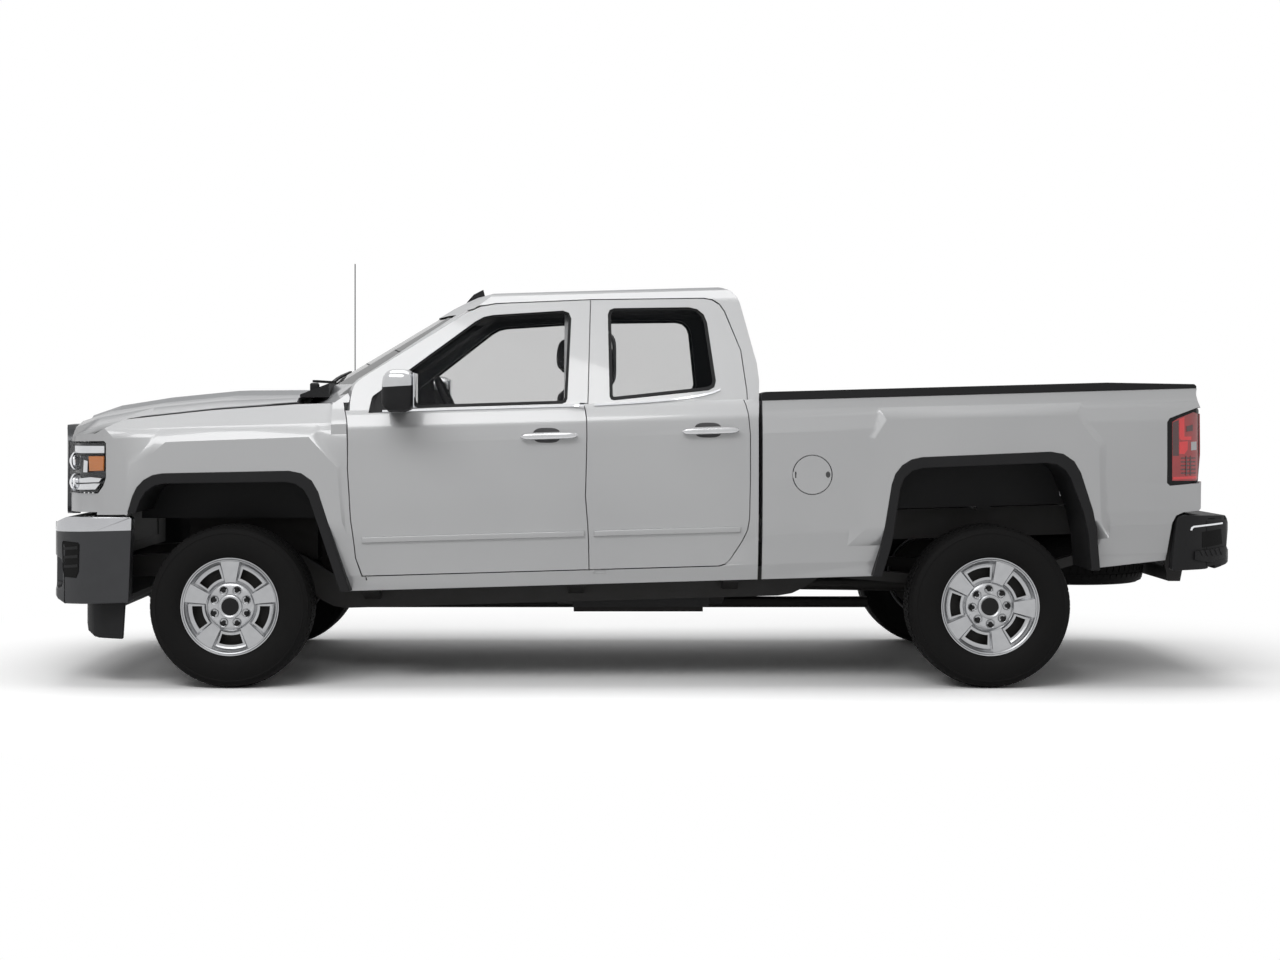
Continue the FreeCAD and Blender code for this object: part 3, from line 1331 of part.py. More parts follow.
def build_interior():
    half = half_width - door_wall - 94
    back = door_front - 24.6
    dash = slab([(back, 800), (back, belt - 20), (back + 300, belt - 5, 60), (back + 440, belt - 60, 50),
                 (back + 400, 1040, 60), (back + 250, 900)], side(-half), vec(0, 2 * float(half), 0))
    dash = dash.cut(slab([(back - 10, 700), (back - 10, 1180), (back + 200, 1180), (back + 330, 960),
                          (back + 330, 700)], side(-half - 5), vec(0, 2 * float(half) + 10, 0)))
    column = bar(wheel_centre(-300), wheel_centre(-26), 34)
    piece("dashboard", join(dash, column))
    seat_x = pillar_line - 600
    cushion = slab([(seat_x, 720, 40), (seat_x + 10, 880, 60), (seat_x + 470, 850), (seat_x + 560, 740),
                    (seat_x + 480, 700)], side(-690), vec(0, 500, 0))
    backrest = slab([(seat_x + 450, 860), (seat_x + 520, 780, 40), (seat_x + 600, 860, 40),
                     (seat_x + 590, 1490, 40), (seat_x + 500, 1490, 40)], side(-680), vec(0, 480, 0))
    headrest = slab([(seat_x + 500, 1500), (seat_x + 480, 1660, 40), (seat_x + 560, 1670, 40),
                     (seat_x + 575, 1500)], side(-570), vec(0, 260, 0))
    base = slab([(seat_x + 60, floor_height + 0.8), (seat_x + 40, 745), (seat_x + 470, 745),
                 (seat_x + 440, floor_height + 0.8)], side(-640), vec(0, 345, 0))
    neck = block(seat_x + 520, seat_x + 545, -500, -380, 1470 + lift(seat_x), 1540 + lift(seat_x))
    seat = join(cushion, backrest, headrest, base, neck)
    bench_x = door_rear - 540
    bench = slab([(bench_x, 730, 30), (bench_x, 860, 40), (bench_x + 330, 830), (bench_x + 400, 1420, 40),
                  (door_rear - 46, 1430, 30), (door_rear - 46, 900), (bench_x + 380, 740)], side(-700),
                 vec(0, 1400, 0))
    stand = slab([(bench_x + 60, floor_height + 0.8), (bench_x + 60, 760), (bench_x + 380, 760),
                  (bench_x + 380, floor_height + 0.8)], side(-640), vec(0, 1280, 0))
    piece("front_seats", seat, mirrored(seat))
    piece("rear_bench", join(bench, stand))


steering_y = size("steering_wheel_offset", 430)
steering_tilt = size("steering_column_tilt", 26)


def wheel_centre(forward):
    """A place on the steering column's line, measured rearwards from the wheel's centre."""
    a = radians(float(steering_tilt))
    x = door_front + 455 + forward * cos(a)
    z = belt + 10 + lift(door_front) + forward * sin(a)
    return x, -steering_y, z


def build_steering_wheel():
    sides = 20
    radius = 190
    a = radians(float(steering_tilt))
    centre = vec(*wheel_centre(0))
    across = vec(0, 1, 0)
    up = vec(-sin(a), 0, cos(a))
    axis = vec(cos(a), 0, sin(a))

    def ring(r, shift):
        spots = [centre + axis * shift + across * (r * cos(2 * pi * k / sides))
                 + up * (r * sin(2 * pi * k / sides)) for k in range(sides)]
        return Part.Face(Part.makePolygon(spots + [spots[0]]))

    rim = ring(radius, -12).extrude(axis * 26).cut(ring(radius - 28, -20).extrude(axis * 50))
    boss = bar(centre - axis * 25.6, centre + axis * 24, 58)
    spokes = []
    for angle in (0, 180, 270):
        spoke = Part.makeBox(radius - 15, 34, 12, vec(0, -17, -6))
        turn = FreeCAD.Rotation(across, up, axis, "ZXY").multiply(FreeCAD.Rotation(vec(0, 0, 1), angle))
        spoke.Placement = FreeCAD.Placement(centre, turn)
        spokes.append(spoke)
    piece("steering_wheel", join(rim, boss, *spokes))


def build_aerials():
    x = front_axle + 375
    y = half_width - 105
    base_z = cowl - 1 + lift(x)
    mast = join(bar((x, y, base_z), (x, y, base_z + 18), 14, 10), bar((x, y, base_z + 12), (x, y, 2179), 3, 6))
    fin = slab([(door_front + 505, eaves), (door_front + 542, crown - 2), (door_front + 592, crown + 22),
                (door_front + 600, crown - 12), (door_front + 640, eaves)], side(-20), vec(0, 40, 0))
    piece("aerials", mast, fin)


build_steps = [build_cab, build_doors, build_fenders, build_hood, build_grille, build_headlamps,
               build_front_bumper, build_radiator, build_arches, build_bed, build_fuel_door, build_rail_caps,
               build_tailgate, build_tail_lamps, build_rear_bumper, build_frame, build_hitch,
               build_wheels, build_spare, build_knuckles, build_front_suspension, build_rear_axle,
               build_powertrain, build_tank_and_exhaust, build_interior, build_steering_wheel, build_aerials]
for step in build_steps:
    step()
left_mirror = mirror()
piece("mirror_left", left_mirror)
piece("mirror_right", mirrored(left_mirror))

doc.recompute()
os.makedirs("parts", exist_ok=True)
for item in doc.Objects:
    for state in item.State:
        if "Invalid" in state or "Error" in state:
            raise RuntimeError("%s is in state %s" % (item.Label, item.State))
for item in nodes:
    shape = item.Shape
    if shape.isNull() or not shape.isValid():
        raise RuntimeError("%s has no valid shape" % item.Label)
for item in nodes:
    item.Shape.exportStep("parts/%s.step" % item.Label)
    print(item.Label, len(item.Shape.Solids), round(item.Shape.Volume / 1e6, 2))
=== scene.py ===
import json
from math import atan2, copysign, cos, degrees, exp, hypot, pi, radians, sin, tau

import bmesh
import bpy
from mathutils import Matrix, Vector
from mathutils.bvhtree import BVHTree

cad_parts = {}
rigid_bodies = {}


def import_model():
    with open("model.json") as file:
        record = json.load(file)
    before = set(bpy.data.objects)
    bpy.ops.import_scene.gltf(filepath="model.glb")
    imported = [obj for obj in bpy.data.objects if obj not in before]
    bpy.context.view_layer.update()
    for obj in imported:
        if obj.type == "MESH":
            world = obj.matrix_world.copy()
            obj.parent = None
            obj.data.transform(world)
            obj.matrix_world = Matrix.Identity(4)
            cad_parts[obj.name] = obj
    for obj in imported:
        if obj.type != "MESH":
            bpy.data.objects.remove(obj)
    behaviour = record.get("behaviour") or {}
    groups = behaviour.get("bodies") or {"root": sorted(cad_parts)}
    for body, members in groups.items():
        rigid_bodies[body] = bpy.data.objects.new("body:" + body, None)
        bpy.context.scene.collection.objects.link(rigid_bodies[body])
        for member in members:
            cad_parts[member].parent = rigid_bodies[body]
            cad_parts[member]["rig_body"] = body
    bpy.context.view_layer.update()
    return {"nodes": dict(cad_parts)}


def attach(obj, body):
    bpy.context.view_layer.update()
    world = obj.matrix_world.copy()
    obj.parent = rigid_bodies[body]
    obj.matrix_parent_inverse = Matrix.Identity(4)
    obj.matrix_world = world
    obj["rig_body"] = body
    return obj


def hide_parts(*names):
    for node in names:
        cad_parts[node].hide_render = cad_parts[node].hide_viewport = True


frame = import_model()
nodes = frame["nodes"]
scene = bpy.context.scene

SIDES = {"left": -1, "right": 1}
FRONT_AXLE = -1.97
REAR_AXLE = 1.693
WHEEL_LEVEL = 0.392
WHEEL_TRACK = 0.872
SPARE_PLACE = (2.3, 0.0, 0.568)
SPOKES = 5
STUDS = 8
STUD_CIRCLE = 0.083
WELD = 0.00005
RAKE = 0.0285


# ---- finishes

class Shade:
    """A socket of a node tree that takes arithmetic."""

    def __init__(self, graph, socket):
        self.graph = graph
        self.socket = socket

    def maths(self, operation, first, second):
        return self.graph.add("ShaderNodeMath", {0: first, 1: second}, operation=operation)

    def __add__(self, other):
        return self.maths("ADD", self, other)

    def __mul__(self, other):
        return self.maths("MULTIPLY", self, other)

    def __rsub__(self, other):
        return self.maths("SUBTRACT", other, self)

    def highest(self, other):
        return self.maths("MAXIMUM", self, other)

    __radd__ = __add__
    __rmul__ = __mul__


class Graph:
    """A node tree that one method builds up."""

    def __init__(self, tree):
        self.tree = tree

    def add(self, kind, sockets, output=0, **settings):
        node = self.tree.nodes.new(kind)
        for key, value in settings.items():
            if key == "stops":
                ramp = node.color_ramp.elements
                while len(ramp) < len(value):
                    ramp.new(1.0)
                for element, (position, tone) in zip(ramp, value):
                    element.position = position
                    element.color = (tone, tone, tone, 1.0)
            else:
                setattr(node, key, value)
        for key, value in sockets.items():
            self.plug(node.inputs[key], value)
        return Shade(self, node.outputs[output])

    def plug(self, target, value):
        if isinstance(value, Shade):
            self.tree.links.new(value.socket, target)
        else:
            target.default_value = value

    def seen_by_eye(self):
        """1 for rays that show the background: seen straight, in a reflection, or through glass."""
        straight, mirrored, through = [self.add("ShaderNodeLightPath", {}, f"Is {ray} Ray")
                                       for ray in ("Camera", "Glossy", "Transmission")]
        return straight.highest(mirrored).highest(through)


class Finish(Graph):
    """A material and the nodes that make it."""

    def __init__(self, name, **constants):
        self.material = bpy.data.materials.new(name)
        self.material.use_nodes = True
        super().__init__(self.material.node_tree)
        self.surface = self.tree.nodes["Principled BSDF"]
        self.feed(**constants)

    def feed(self, **sockets):
        for name, value in sockets.items():
            self.plug(self.surface.inputs[name.replace("_", " ")], value)

    def spot(self, stretch=(1.0, 1.0, 1.0)):
        place = self.add("ShaderNodeTexCoord", {}, "Object")
        return self.add("ShaderNodeMapping", {"Vector": place, "Scale": stretch})

    def noise(self, scale, detail=3.0):
        return self.add("ShaderNodeTexNoise", {"Vector": self.spot(), "Scale": scale, "Detail": detail,
                                               "Roughness": 0.55})

    def blend(self, factor, first, second):
        tones = {place: (*tone, 1.0) if isinstance(tone, tuple) else tone for place, tone in ((6, first), (7, second))}
        return self.add("ShaderNodeMix", {0: factor, **tones}, 2, data_type="RGBA")

    def bump(self, height, depth, strength=1.0):
        self.feed(Normal=self.add("ShaderNodeBump", {"Height": height, "Distance": depth, "Strength": strength}))


def painted():
    """White metallic paint with fine flake under a clear coat; its colour darkens where it is seen at a grazing angle,
    partly the paint's flop and partly painted shade for its darker reflections.
    """
    coat = Finish("body_paint", Metallic=0.12, Roughness=0.34, Coat_Roughness=0.03, IOR=1.5, Specular_IOR_Level=0.3)
    slant_flop_and_painted_shade = coat.add("ShaderNodeLayerWeight", {"Blend": 0.5}, "Facing")
    slant_flop_and_painted_shade = slant_flop_and_painted_shade * slant_flop_and_painted_shade
    flake = coat.noise(2600.0, 1.0)
    cloud = coat.noise(1.3, 2.0)
    tone = coat.add("ShaderNodeValToRGB", {"Fac": flake * 0.6 + cloud * 0.4}, stops=((0.35, 0.0), (0.65, 1.0)))
    face = coat.blend(tone, (0.6, 0.605, 0.615), (0.68, 0.685, 0.69))
    # painted shade: the base colour darkens towards grazing view, standing in for darker reflections as well as the
    # paint's flop
    coat.feed(Base_Color=coat.blend(slant_flop_and_painted_shade, face, (0.22, 0.225, 0.235)), Roughness=0.3 + flake * 0.1,
              Coat_Weight=1.0 - slant_flop_and_painted_shade * 0.92)
    return coat.material


def metal(name, low, high, metallic, rough_low, rough_high, grain, pit=0.0):
    """Clouded metal, pitted where it is cast."""
    cast = Finish(name, Metallic=metallic)
    cloud = cast.noise(grain, 4.0)
    cast.feed(Base_Color=cast.blend(cloud, low, high), Roughness=rough_low + cloud * (rough_high - rough_low))
    if pit:
        cast.bump(cast.noise(grain * 6.0), pit)
    return cast.material


def moulded(name, low, high, rough=0.55, pebble=700.0, depth=0.0004):
    """Moulded plastic with a fine pebbled grain."""
    plastic = Finish(name, Specular_IOR_Level=0.2)
    cloud = plastic.noise(9.0)
    plastic.feed(Base_Color=plastic.blend(cloud, low, high), Roughness=rough - 0.06 + cloud * 0.12)
    cells = plastic.add("ShaderNodeTexVoronoi", {"Vector": plastic.spot(), "Scale": pebble})
    plastic.bump(cells, depth, 0.5)
    return plastic.material


def glazing(name, tone, alpha):
    """Tinted window glass."""
    glass = Finish(name, Roughness=0.02, IOR=1.45, Alpha=alpha, Specular_IOR_Level=0.12)
    haze = glass.noise(0.7, 1.0)
    glass.feed(Base_Color=glass.blend(haze, tone, tuple(part * 1.2 for part in tone)), Alpha=alpha + haze * 0.01)
    return glass.material


def lens(name, tone, alpha, glow=0.0):
    """Coloured lamp plastic that may glow a little."""
    cover = Finish(name, Roughness=0.08, IOR=1.49, Coat_Weight=1.0, Coat_Roughness=0.03)
    streak = cover.noise(12.0, 2.0)
    deep = tuple(part * 0.7 for part in tone)
    cover.feed(Base_Color=cover.blend(streak, deep, tone), Alpha=alpha + streak * 0.04)
    if glow:
        cover.feed(Emission_Strength=glow, Emission_Color=cover.blend(streak, deep, tone))
    return cover.material


def rubber():
    """Dusty black tyre rubber."""
    tread = Finish("tyre_rubber", Specular_IOR_Level=0.12)
    dust = tread.noise(14.0, 5.0)
    grain = tread.noise(420.0, 2.0)
    tread.feed(Base_Color=tread.blend(dust, (0.006, 0.006, 0.0065), (0.016, 0.0155, 0.015)),
               Roughness=0.62 + dust * 0.2)
    tread.bump(grain, 0.0003, 0.6)
    return tread.material


def woven(name, low, high):
    """Seat cloth: a small over and under weave."""
    cloth = Finish(name, Roughness=0.9, Sheen_Weight=0.4, Sheen_Roughness=0.5)
    across, along = [cloth.add("ShaderNodeTexWave", {"Vector": cloth.spot(), "Scale": 160.0, "Distortion": 0.4},
                               wave_type="BANDS", bands_direction=direction)
                     for direction in ("Y", "DIAGONAL")]
    weave = across * along
    cloth.feed(Base_Color=cloth.blend(weave * 0.7 + cloth.noise(30.0) * 0.3, low, high))
    cloth.bump(weave, 0.0006, 0.6)
    return cloth.material


PAINT = painted()
GLASS = glazing("window_glass", (0.02, 0.022, 0.024), 0.14)
CHROME = metal("bright_chrome", (0.72, 0.73, 0.75), (0.82, 0.83, 0.85), 1.0, 0.05, 0.12, 8.0)
# Brighter chrome for the top of the front bumper: a painted reflection of the sky.
PAINTED_REFLECTION_BAND = metal("band_chrome_painted_reflection", (0.4, 0.405, 0.42), (0.56, 0.565, 0.58), 1.0, 0.14, 0.24, 4.0)
DARK_CHROME = metal("dark_chrome", (0.045, 0.046, 0.048), (0.07, 0.072, 0.075), 0.9, 0.16, 0.28, 8.0)
BLACK = moulded("black_plastic", (0.012, 0.012, 0.013), (0.024, 0.024, 0.025))
GLOSS_BLACK = moulded("gloss_black", (0.008, 0.008, 0.009), (0.014, 0.014, 0.015), 0.2, 900.0, 0.00005)
STEEL = metal("frame_steel", (0.01, 0.01, 0.011), (0.035, 0.033, 0.031), 0.3, 0.45, 0.75, 14.0, 0.0004)
ALLOY = metal("machined_alloy", (0.36, 0.365, 0.375), (0.46, 0.465, 0.475), 1.0, 0.26, 0.38, 26.0)
ALLOY_DARK = metal("cast_alloy", (0.1, 0.1, 0.105), (0.16, 0.16, 0.165), 0.7, 0.35, 0.5, 30.0, 0.0002)
IRON = metal("cast_iron", (0.02, 0.019, 0.018), (0.05, 0.048, 0.046), 0.4, 0.5, 0.8, 22.0, 0.0008)
TANK = moulded("tank_plastic", (0.02, 0.02, 0.021), (0.04, 0.04, 0.041), 0.5, 260.0)
EXHAUST = metal("exhaust_steel", (0.02, 0.019, 0.018), (0.045, 0.042, 0.04), 0.4, 0.5, 0.7, 18.0, 0.0003)
RUBBER = rubber()
TRIM = moulded("cabin_trim", (0.018, 0.018, 0.02), (0.035, 0.035, 0.037), 0.65, 420.0)
CLOTH = woven("seat_cloth", (0.02, 0.02, 0.022), (0.055, 0.055, 0.06))
GRAPHITE = metal("graphite", (0.04, 0.041, 0.043), (0.055, 0.056, 0.06), 0.5, 0.32, 0.44, 8.0)
BRIGHT = metal("satin_bright", (0.5, 0.505, 0.515), (0.6, 0.605, 0.615), 0.9, 0.18, 0.26, 12.0)
MIRROR = metal("mirror_glass", (0.55, 0.56, 0.58), (0.6, 0.61, 0.63), 1.0, 0.02, 0.04, 6.0)
HANDLE_GREY = moulded("handle_grey", (0.12, 0.12, 0.123), (0.16, 0.16, 0.164), 0.6, 420.0)
# Grey of the handle cups and the fuel-door pull: painted shade of each recess, laid on the skin as a thin plate.
CUP_SHADE = moulded("shaded_recess", (0.1, 0.1, 0.103), (0.15, 0.15, 0.154), 0.5, 300.0, 0.00005)
# Near-black for bumper hollows: partly black plastic, partly painted shade of the recess laid on as a flat plate.
PIT_BLACK_AND_SHADE = moulded("deep_recess_black_and_painted_shade", (0.004, 0.004, 0.004), (0.008, 0.008, 0.008), 0.8, 300.0, 0.0001)
RED_DEEP = lens("red_deep", (0.1, 0.003, 0.006), 0.97, 0.02)
RED_BRIGHT = lens("red_bright", (0.85, 0.012, 0.02), 0.96, 0.3)
WHITE_LENS = lens("white_lens", (0.75, 0.76, 0.78), 0.95, 0.1)
# Near-opaque dark glass for windscreen and rear window: partly real tint, partly painted shade of the dark cabin seen
# through it.
DARK_GLASS_TINT_AND_SHADE = glazing("screen_glass", (0.012, 0.013, 0.014), 0.8)
CLEAR = lens("lamp_cover", (0.06, 0.065, 0.07), 0.1)
AMBER = lens("amber_lens", (0.95, 0.28, 0.03), 0.95, 0.15)
RED = lens("red_lens", (0.55, 0.01, 0.015), 0.96, 0.12)

# The nodes that stay as CAD made them.
CARRIED = (
    # windscreen and rear window in near-opaque dark glass: tint and painted shade
    (DARK_GLASS_TINT_AND_SHADE, "fixed_glass"),
    (GLASS, "front_door_glass_left front_door_glass_right rear_door_glass_left rear_door_glass_right"),
    (BLACK, "radiator aerials"),
    (STEEL, "ladder_frame hitch_receiver tie_rods front_suspension rear_axle leaf_springs"),
    (IRON, "knuckle_left knuckle_right powertrain"),
    (TANK, "fuel_tank"),
    (EXHAUST, "exhaust"),
)
for finish, carried in CARRIED:
    for node in carried.split():
        nodes[node].data.materials.clear()
        nodes[node].data.materials.append(finish)


# ---- making pieces

def put(name, data):
    """Places new data in the scene."""
    made = bpy.data.objects.new(name, data)
    scene.collection.objects.link(made)
    return made


def show(name, bm, finish, body="chassis", smooth=34.0, stands_for=()):
    """Turns a finished bmesh into a piece of the truck that rides on a body."""
    mesh = bpy.data.meshes.new(name)
    bm.normal_update()
    bm.to_mesh(mesh)
    bm.free()
    mesh.materials.append(finish)
    for polygon in mesh.polygons:
        polygon.use_smooth = True
    mesh.set_sharp_from_angle(angle=radians(smooth))
    made = put(name, mesh)
    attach(made, body)
    if stands_for:
        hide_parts(*stands_for)
    return made


def rolled(bm, edges, size, segments, **more):
    """Rounds edges over."""
    bmesh.ops.bevel(bm, geom=edges, offset=size, offset_type="OFFSET", segments=segments, profile=0.5, affect="EDGES",
                    material=-1, **more)


def cut(bm, spot, normal):
    """Adds the edges where a plane crosses the faces."""
    bmesh.ops.bisect_plane(bm, geom=bm.verts[:] + bm.edges[:] + bm.faces[:], dist=0.0001, plane_co=spot,
                           plane_no=normal)


def face_out(bm):
    """Turns all faces outward."""
    bmesh.ops.recalc_face_normals(bm, faces=bm.faces)


def merged(node):
    """A copy of a CAD node with its doubled corners and flat seams taken out."""
    bm = bmesh.new()
    bm.from_mesh(nodes[node].data)
    bmesh.ops.remove_doubles(bm, verts=bm.verts, dist=0.0003)
    bmesh.ops.dissolve_limit(bm, angle_limit=radians(0.15), verts=bm.verts, edges=bm.edges)
    return bm


def dressed(node, finish, roll=0.0, other=None, is_other=None, seam=None, settle=None):
    """The CAD node's form with smooth shading, rolled edges and a second finish where a rule says so."""
    bm = merged(node)
    if settle:
        settle(bm)
    if seam:
        cut(bm, *seam)
    if roll:
        sharp = [edge for edge in bm.edges if edge.is_manifold and edge.calc_length() > 3.0 * roll
                 and edge.calc_face_angle() > radians(30.0)]
        rolled(bm, sharp, roll, 2, clamp_overlap=False, loop_slide=True)
    made = show("dressed_" + node, bm, finish, nodes[node]["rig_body"], smooth=36.0, stands_for=(node,))
    if other:
        made.data.materials.append(other)
        for polygon in made.data.polygons:
            if is_other(polygon.center, polygon.normal):
                polygon.material_index = 1
    weighted = made.modifiers.new("weighted", "WEIGHTED_NORMAL")
    weighted.keep_sharp = True
    weighted.weight = 90


def tree_of(*names):
    """Ray target made of several nodes."""
    bm = bmesh.new()
    for name in names:
        bm.from_mesh(nodes[name].data)
    target = BVHTree.FromBMesh(bm)
    bm.free()
    return target


def skin_y(target, x, z, sign):
    """Where a level line from outside meets the bodyside."""
    hit = target.ray_cast(Vector((x, sign * 1.4, z)), Vector((0.0, -sign, 0.0)))[0]
    return hit.y if hit else sign


def loft(rings):
    """A solid through rings of spots that have the same number of corners."""
    bm = bmesh.new()
    loops = []
    for ring in rings:
        verts = [bm.verts.new(spot) for spot in ring]
        loops.append([bm.edges.new(pair) for pair in zip(verts, verts[1:] + verts[:1])])
    for near, far in zip(loops, loops[1:]):
        bmesh.ops.bridge_loops(bm, edges=near + far)
    bmesh.ops.holes_fill(bm, edges=loops[0] + loops[-1], sides=0)
    face_out(bm)
    return bm


def rounded(low, high, roll, segments=4):
    """Block between two corners with rolled edges."""
    bm = bmesh.new()
    bmesh.ops.create_cube(bm, size=1.0)
    low, high = Vector(low), Vector(high)
    bmesh.ops.scale(bm, vec=high - low, verts=bm.verts)
    bmesh.ops.translate(bm, vec=(low + high) / 2, verts=bm.verts)
    rolled(bm, bm.edges[:], roll, segments)
    return bm


def block(x, y, z, half, roll, segments=4):
    """Block from x to x and z to z that reaches half a width to each side of y."""
    return rounded((x[0], y - half, z[0]), (x[1], y + half, z[1]), roll, segments)


def metres(spots):
    """Pairs of millimetres in metres."""
    return [(first / 1000.0, second / 1000.0) for first, second in spots]


def turns(count):
    """Angles once round a circle."""
    return [tau * step / count for step in range(count)]


def disc_piece(profile, steps):
    """Turns a profile of (radius, height) spots in millimetres about the Y axis."""
    bm = bmesh.new()
    verts = [bm.verts.new((radius, height, 0.0)) for radius, height in metres(profile)]
    edges = [bm.edges.new(pair) for pair in zip(verts, verts[1:])]
    bmesh.ops.spin(bm, geom=verts + edges, cent=(0.0, 0.0, 0.0), axis=(0.0, 1.0, 0.0), angle=tau, steps=steps,
                   use_merge=True)
    bmesh.ops.remove_doubles(bm, verts=bm.verts, dist=WELD)
    face_out(bm)
    return bm


def corners_of(made):
    """The corners among what an operator made."""
    return [item for item in made["geom"] if isinstance(item, bmesh.types.BMVert)]


def moved(bm, matrix):
    """Carries a bmesh to its place, turning its faces round where the matrix mirrors it."""
    bmesh.ops.transform(bm, matrix=matrix, verts=bm.verts)
    if matrix.determinant() < 0:
        bmesh.ops.reverse_faces(bm, faces=bm.faces)
    return bm


def join_into(bm, *others):
    """Adds the faces of other bmeshes to this one."""
    for other in others:
        spare = bpy.data.meshes.new("spare")
        other.to_mesh(spare)
        other.free()
        bm.from_mesh(spare)
        bpy.data.meshes.remove(spare)


# ---- wheels

def tyre_mesh():
    """Tyre at the origin, outer side towards -Y, with ribs of tread blocks."""
    side = [(222, -98), (236, -104), (243, -110), (252, -114), (262, -123), (285, -130), (312, -132.5), (336, -130.5),
            (352, -127), (354, -128.5), (358, -128.5), (360, -126), (368, -122.5), (378, -116), (384, -106),
            (386.2, -85)]
    other = [(radius, -height) for radius, height in reversed(side)]
    bm = disc_piece(side + [(387, -30), (387, 30)] + other, 96)
    pitches = 64
    ribs = ((-0.118, -0.076), (-0.067, -0.026), (-0.018, 0.018), (0.026, 0.067), (0.076, 0.118))
    for rib, (low, high) in enumerate(ribs):
        for pitch in range(pitches):
            turn = tau * (pitch + 0.5 * (rib % 2)) / pitches
            lug = bmesh.ops.create_cube(bm, size=1.0)["verts"]
            shoulder = rib in (0, 4)
            wide = tau * 0.39 / pitches * (0.74 if shoulder else 0.84)
            bmesh.ops.scale(bm, vec=(0.016 if shoulder else 0.011, high - low, wide), verts=lug)
            skew = 0.2 if rib in (1, 3) else 0.0
            bmesh.ops.rotate(bm, cent=(0, 0, 0), matrix=Matrix.Rotation(skew * (rib - 2), 3, "X"), verts=lug)
            bmesh.ops.translate(bm, vec=(0.3838 if shoulder else 0.3863, (low + high) / 2, 0), verts=lug)
            if shoulder:
                for vert in lug:
                    if abs(vert.co.y) > 0.1:
                        vert.co.x -= 0.014 if vert.co.x > 0.384 else 0.02
            bmesh.ops.rotate(bm, cent=(0, 0, 0), matrix=Matrix.Rotation(turn, 3, "Y"), verts=lug)
    return bm


def alloy_mesh():
    """Five-spoke alloy face at the origin, outer side towards -Y, with a flat pad on each spoke."""
    dish = [(46, -88), (62, -92), (75, -90), (95, -88), (108, -84), (113, -80), (118, -84), (128, -84), (140, -82),
            (156, -81), (172, -81), (188, -82), (198, -83), (206, -88), (216, -94), (226, -104), (232, -110.5),
            (236.5, -110.5), (236.5, -104), (229, -99), (222, -85)]
    bm = disc_piece(dish, 120)
    sector = 360.0 / SPOKES
    pads, windows, pockets = [], [], []
    for face in bm.faces:
        spot = face.calc_center_median()
        radius = hypot(spot.x, spot.z)
        turn = degrees(atan2(spot.x, spot.z)) % sector
        from_spoke = min(turn, sector - turn)
        if 0.118 < radius < 0.222 and from_spoke < 12.0 and spot.y < -0.08:
            pads.append(face)
        elif 0.14 < radius < 0.188 and from_spoke > 19.0:
            windows.append(face)
        elif 0.128 < radius < 0.206 and from_spoke > 14.0:
            pockets.append(face)
    bmesh.ops.delete(bm, geom=windows, context="FACES")
    sunk = {vert for face in pockets for vert in face.verts}
    edge_pads = {vert for face in pads for vert in face.verts}
    for vert in sunk - edge_pads:
        vert.co.y += 0.01
    raised = corners_of(bmesh.ops.extrude_face_region(bm, geom=pads))
    bmesh.ops.delete(bm, geom=pads, context="FACES")
    for vert in raised:
        radius = hypot(vert.co.x, vert.co.z)
        vert.co.y = -0.089 - 0.012 * max(0.0, (radius - 0.118) / 0.104)
    bmesh.ops.remove_doubles(bm, verts=bm.verts, dist=WELD)
    face_out(bm)
    bmesh.ops.solidify(bm, geom=bm.faces[:], thickness=0.009)
    face_out(bm)
    return bm


def barrel_mesh():
    """The rim's drum behind the alloy face."""
    return disc_piece([(236.5, -110.5), (232, -108), (226, -95), (218, -80), (214, 60), (222, 95), (236.5, 109),
                       (236.5, 113.5), (228, 113.5), (222, 100), (219, 60), (222, -80), (236.5, -100)], 96)


def stud_places():
    """Where the studs stand round the hub."""
    for stud in range(STUDS):
        turn = tau * (stud + 0.5) / STUDS
        yield Matrix.Translation((STUD_CIRCLE * sin(turn), 0.0, STUD_CIRCLE * cos(turn)))


def hub_mesh():
    """Bright hub ring and cap rim with the cone seat of each stud."""
    bm = disc_piece([(0, -96), (40, -96), (44.5, -101), (50.5, -103.5), (56, -101), (58.5, -94), (58.5, -85)], 64)
    for place in stud_places():
        cup = disc_piece([(16.5, -88.5), (18.5, -93.5), (20.5, -94.5), (22.5, -91.5), (22.5, -86.5)], 20)
        join_into(bm, moved(cup, place))
    return bm


def nut_mesh():
    """Black stud nuts in their seats and the plain black cap."""
    bm = disc_piece([(0, -101.5), (28, -101.2), (40, -99.5), (43.5, -97.5)], 48)
    for place in stud_places():
        seat = disc_piece([(0, -89.5), (16.8, -88.8)], 20)
        join_into(bm, moved(seat, place))
        nut = bmesh.new()
        bmesh.ops.create_cone(nut, cap_ends=True, segments=6, radius1=0.0115, radius2=0.0105, depth=0.014)
        rolled(nut, nut.edges[:], 0.0012, 2)
        upright = Matrix.Translation((0.0, -0.095, 0.0)) @ Matrix.Rotation(pi / 2, 4, "X")
        join_into(bm, moved(nut, place @ upright))
    return bm


def brake_mesh():
    """Brake disc with its bell, seen through the wheel's windows."""
    return disc_piece([(95, 20), (203, 20), (203, -10), (95, -10), (70, -55), (0, -60)], 64)


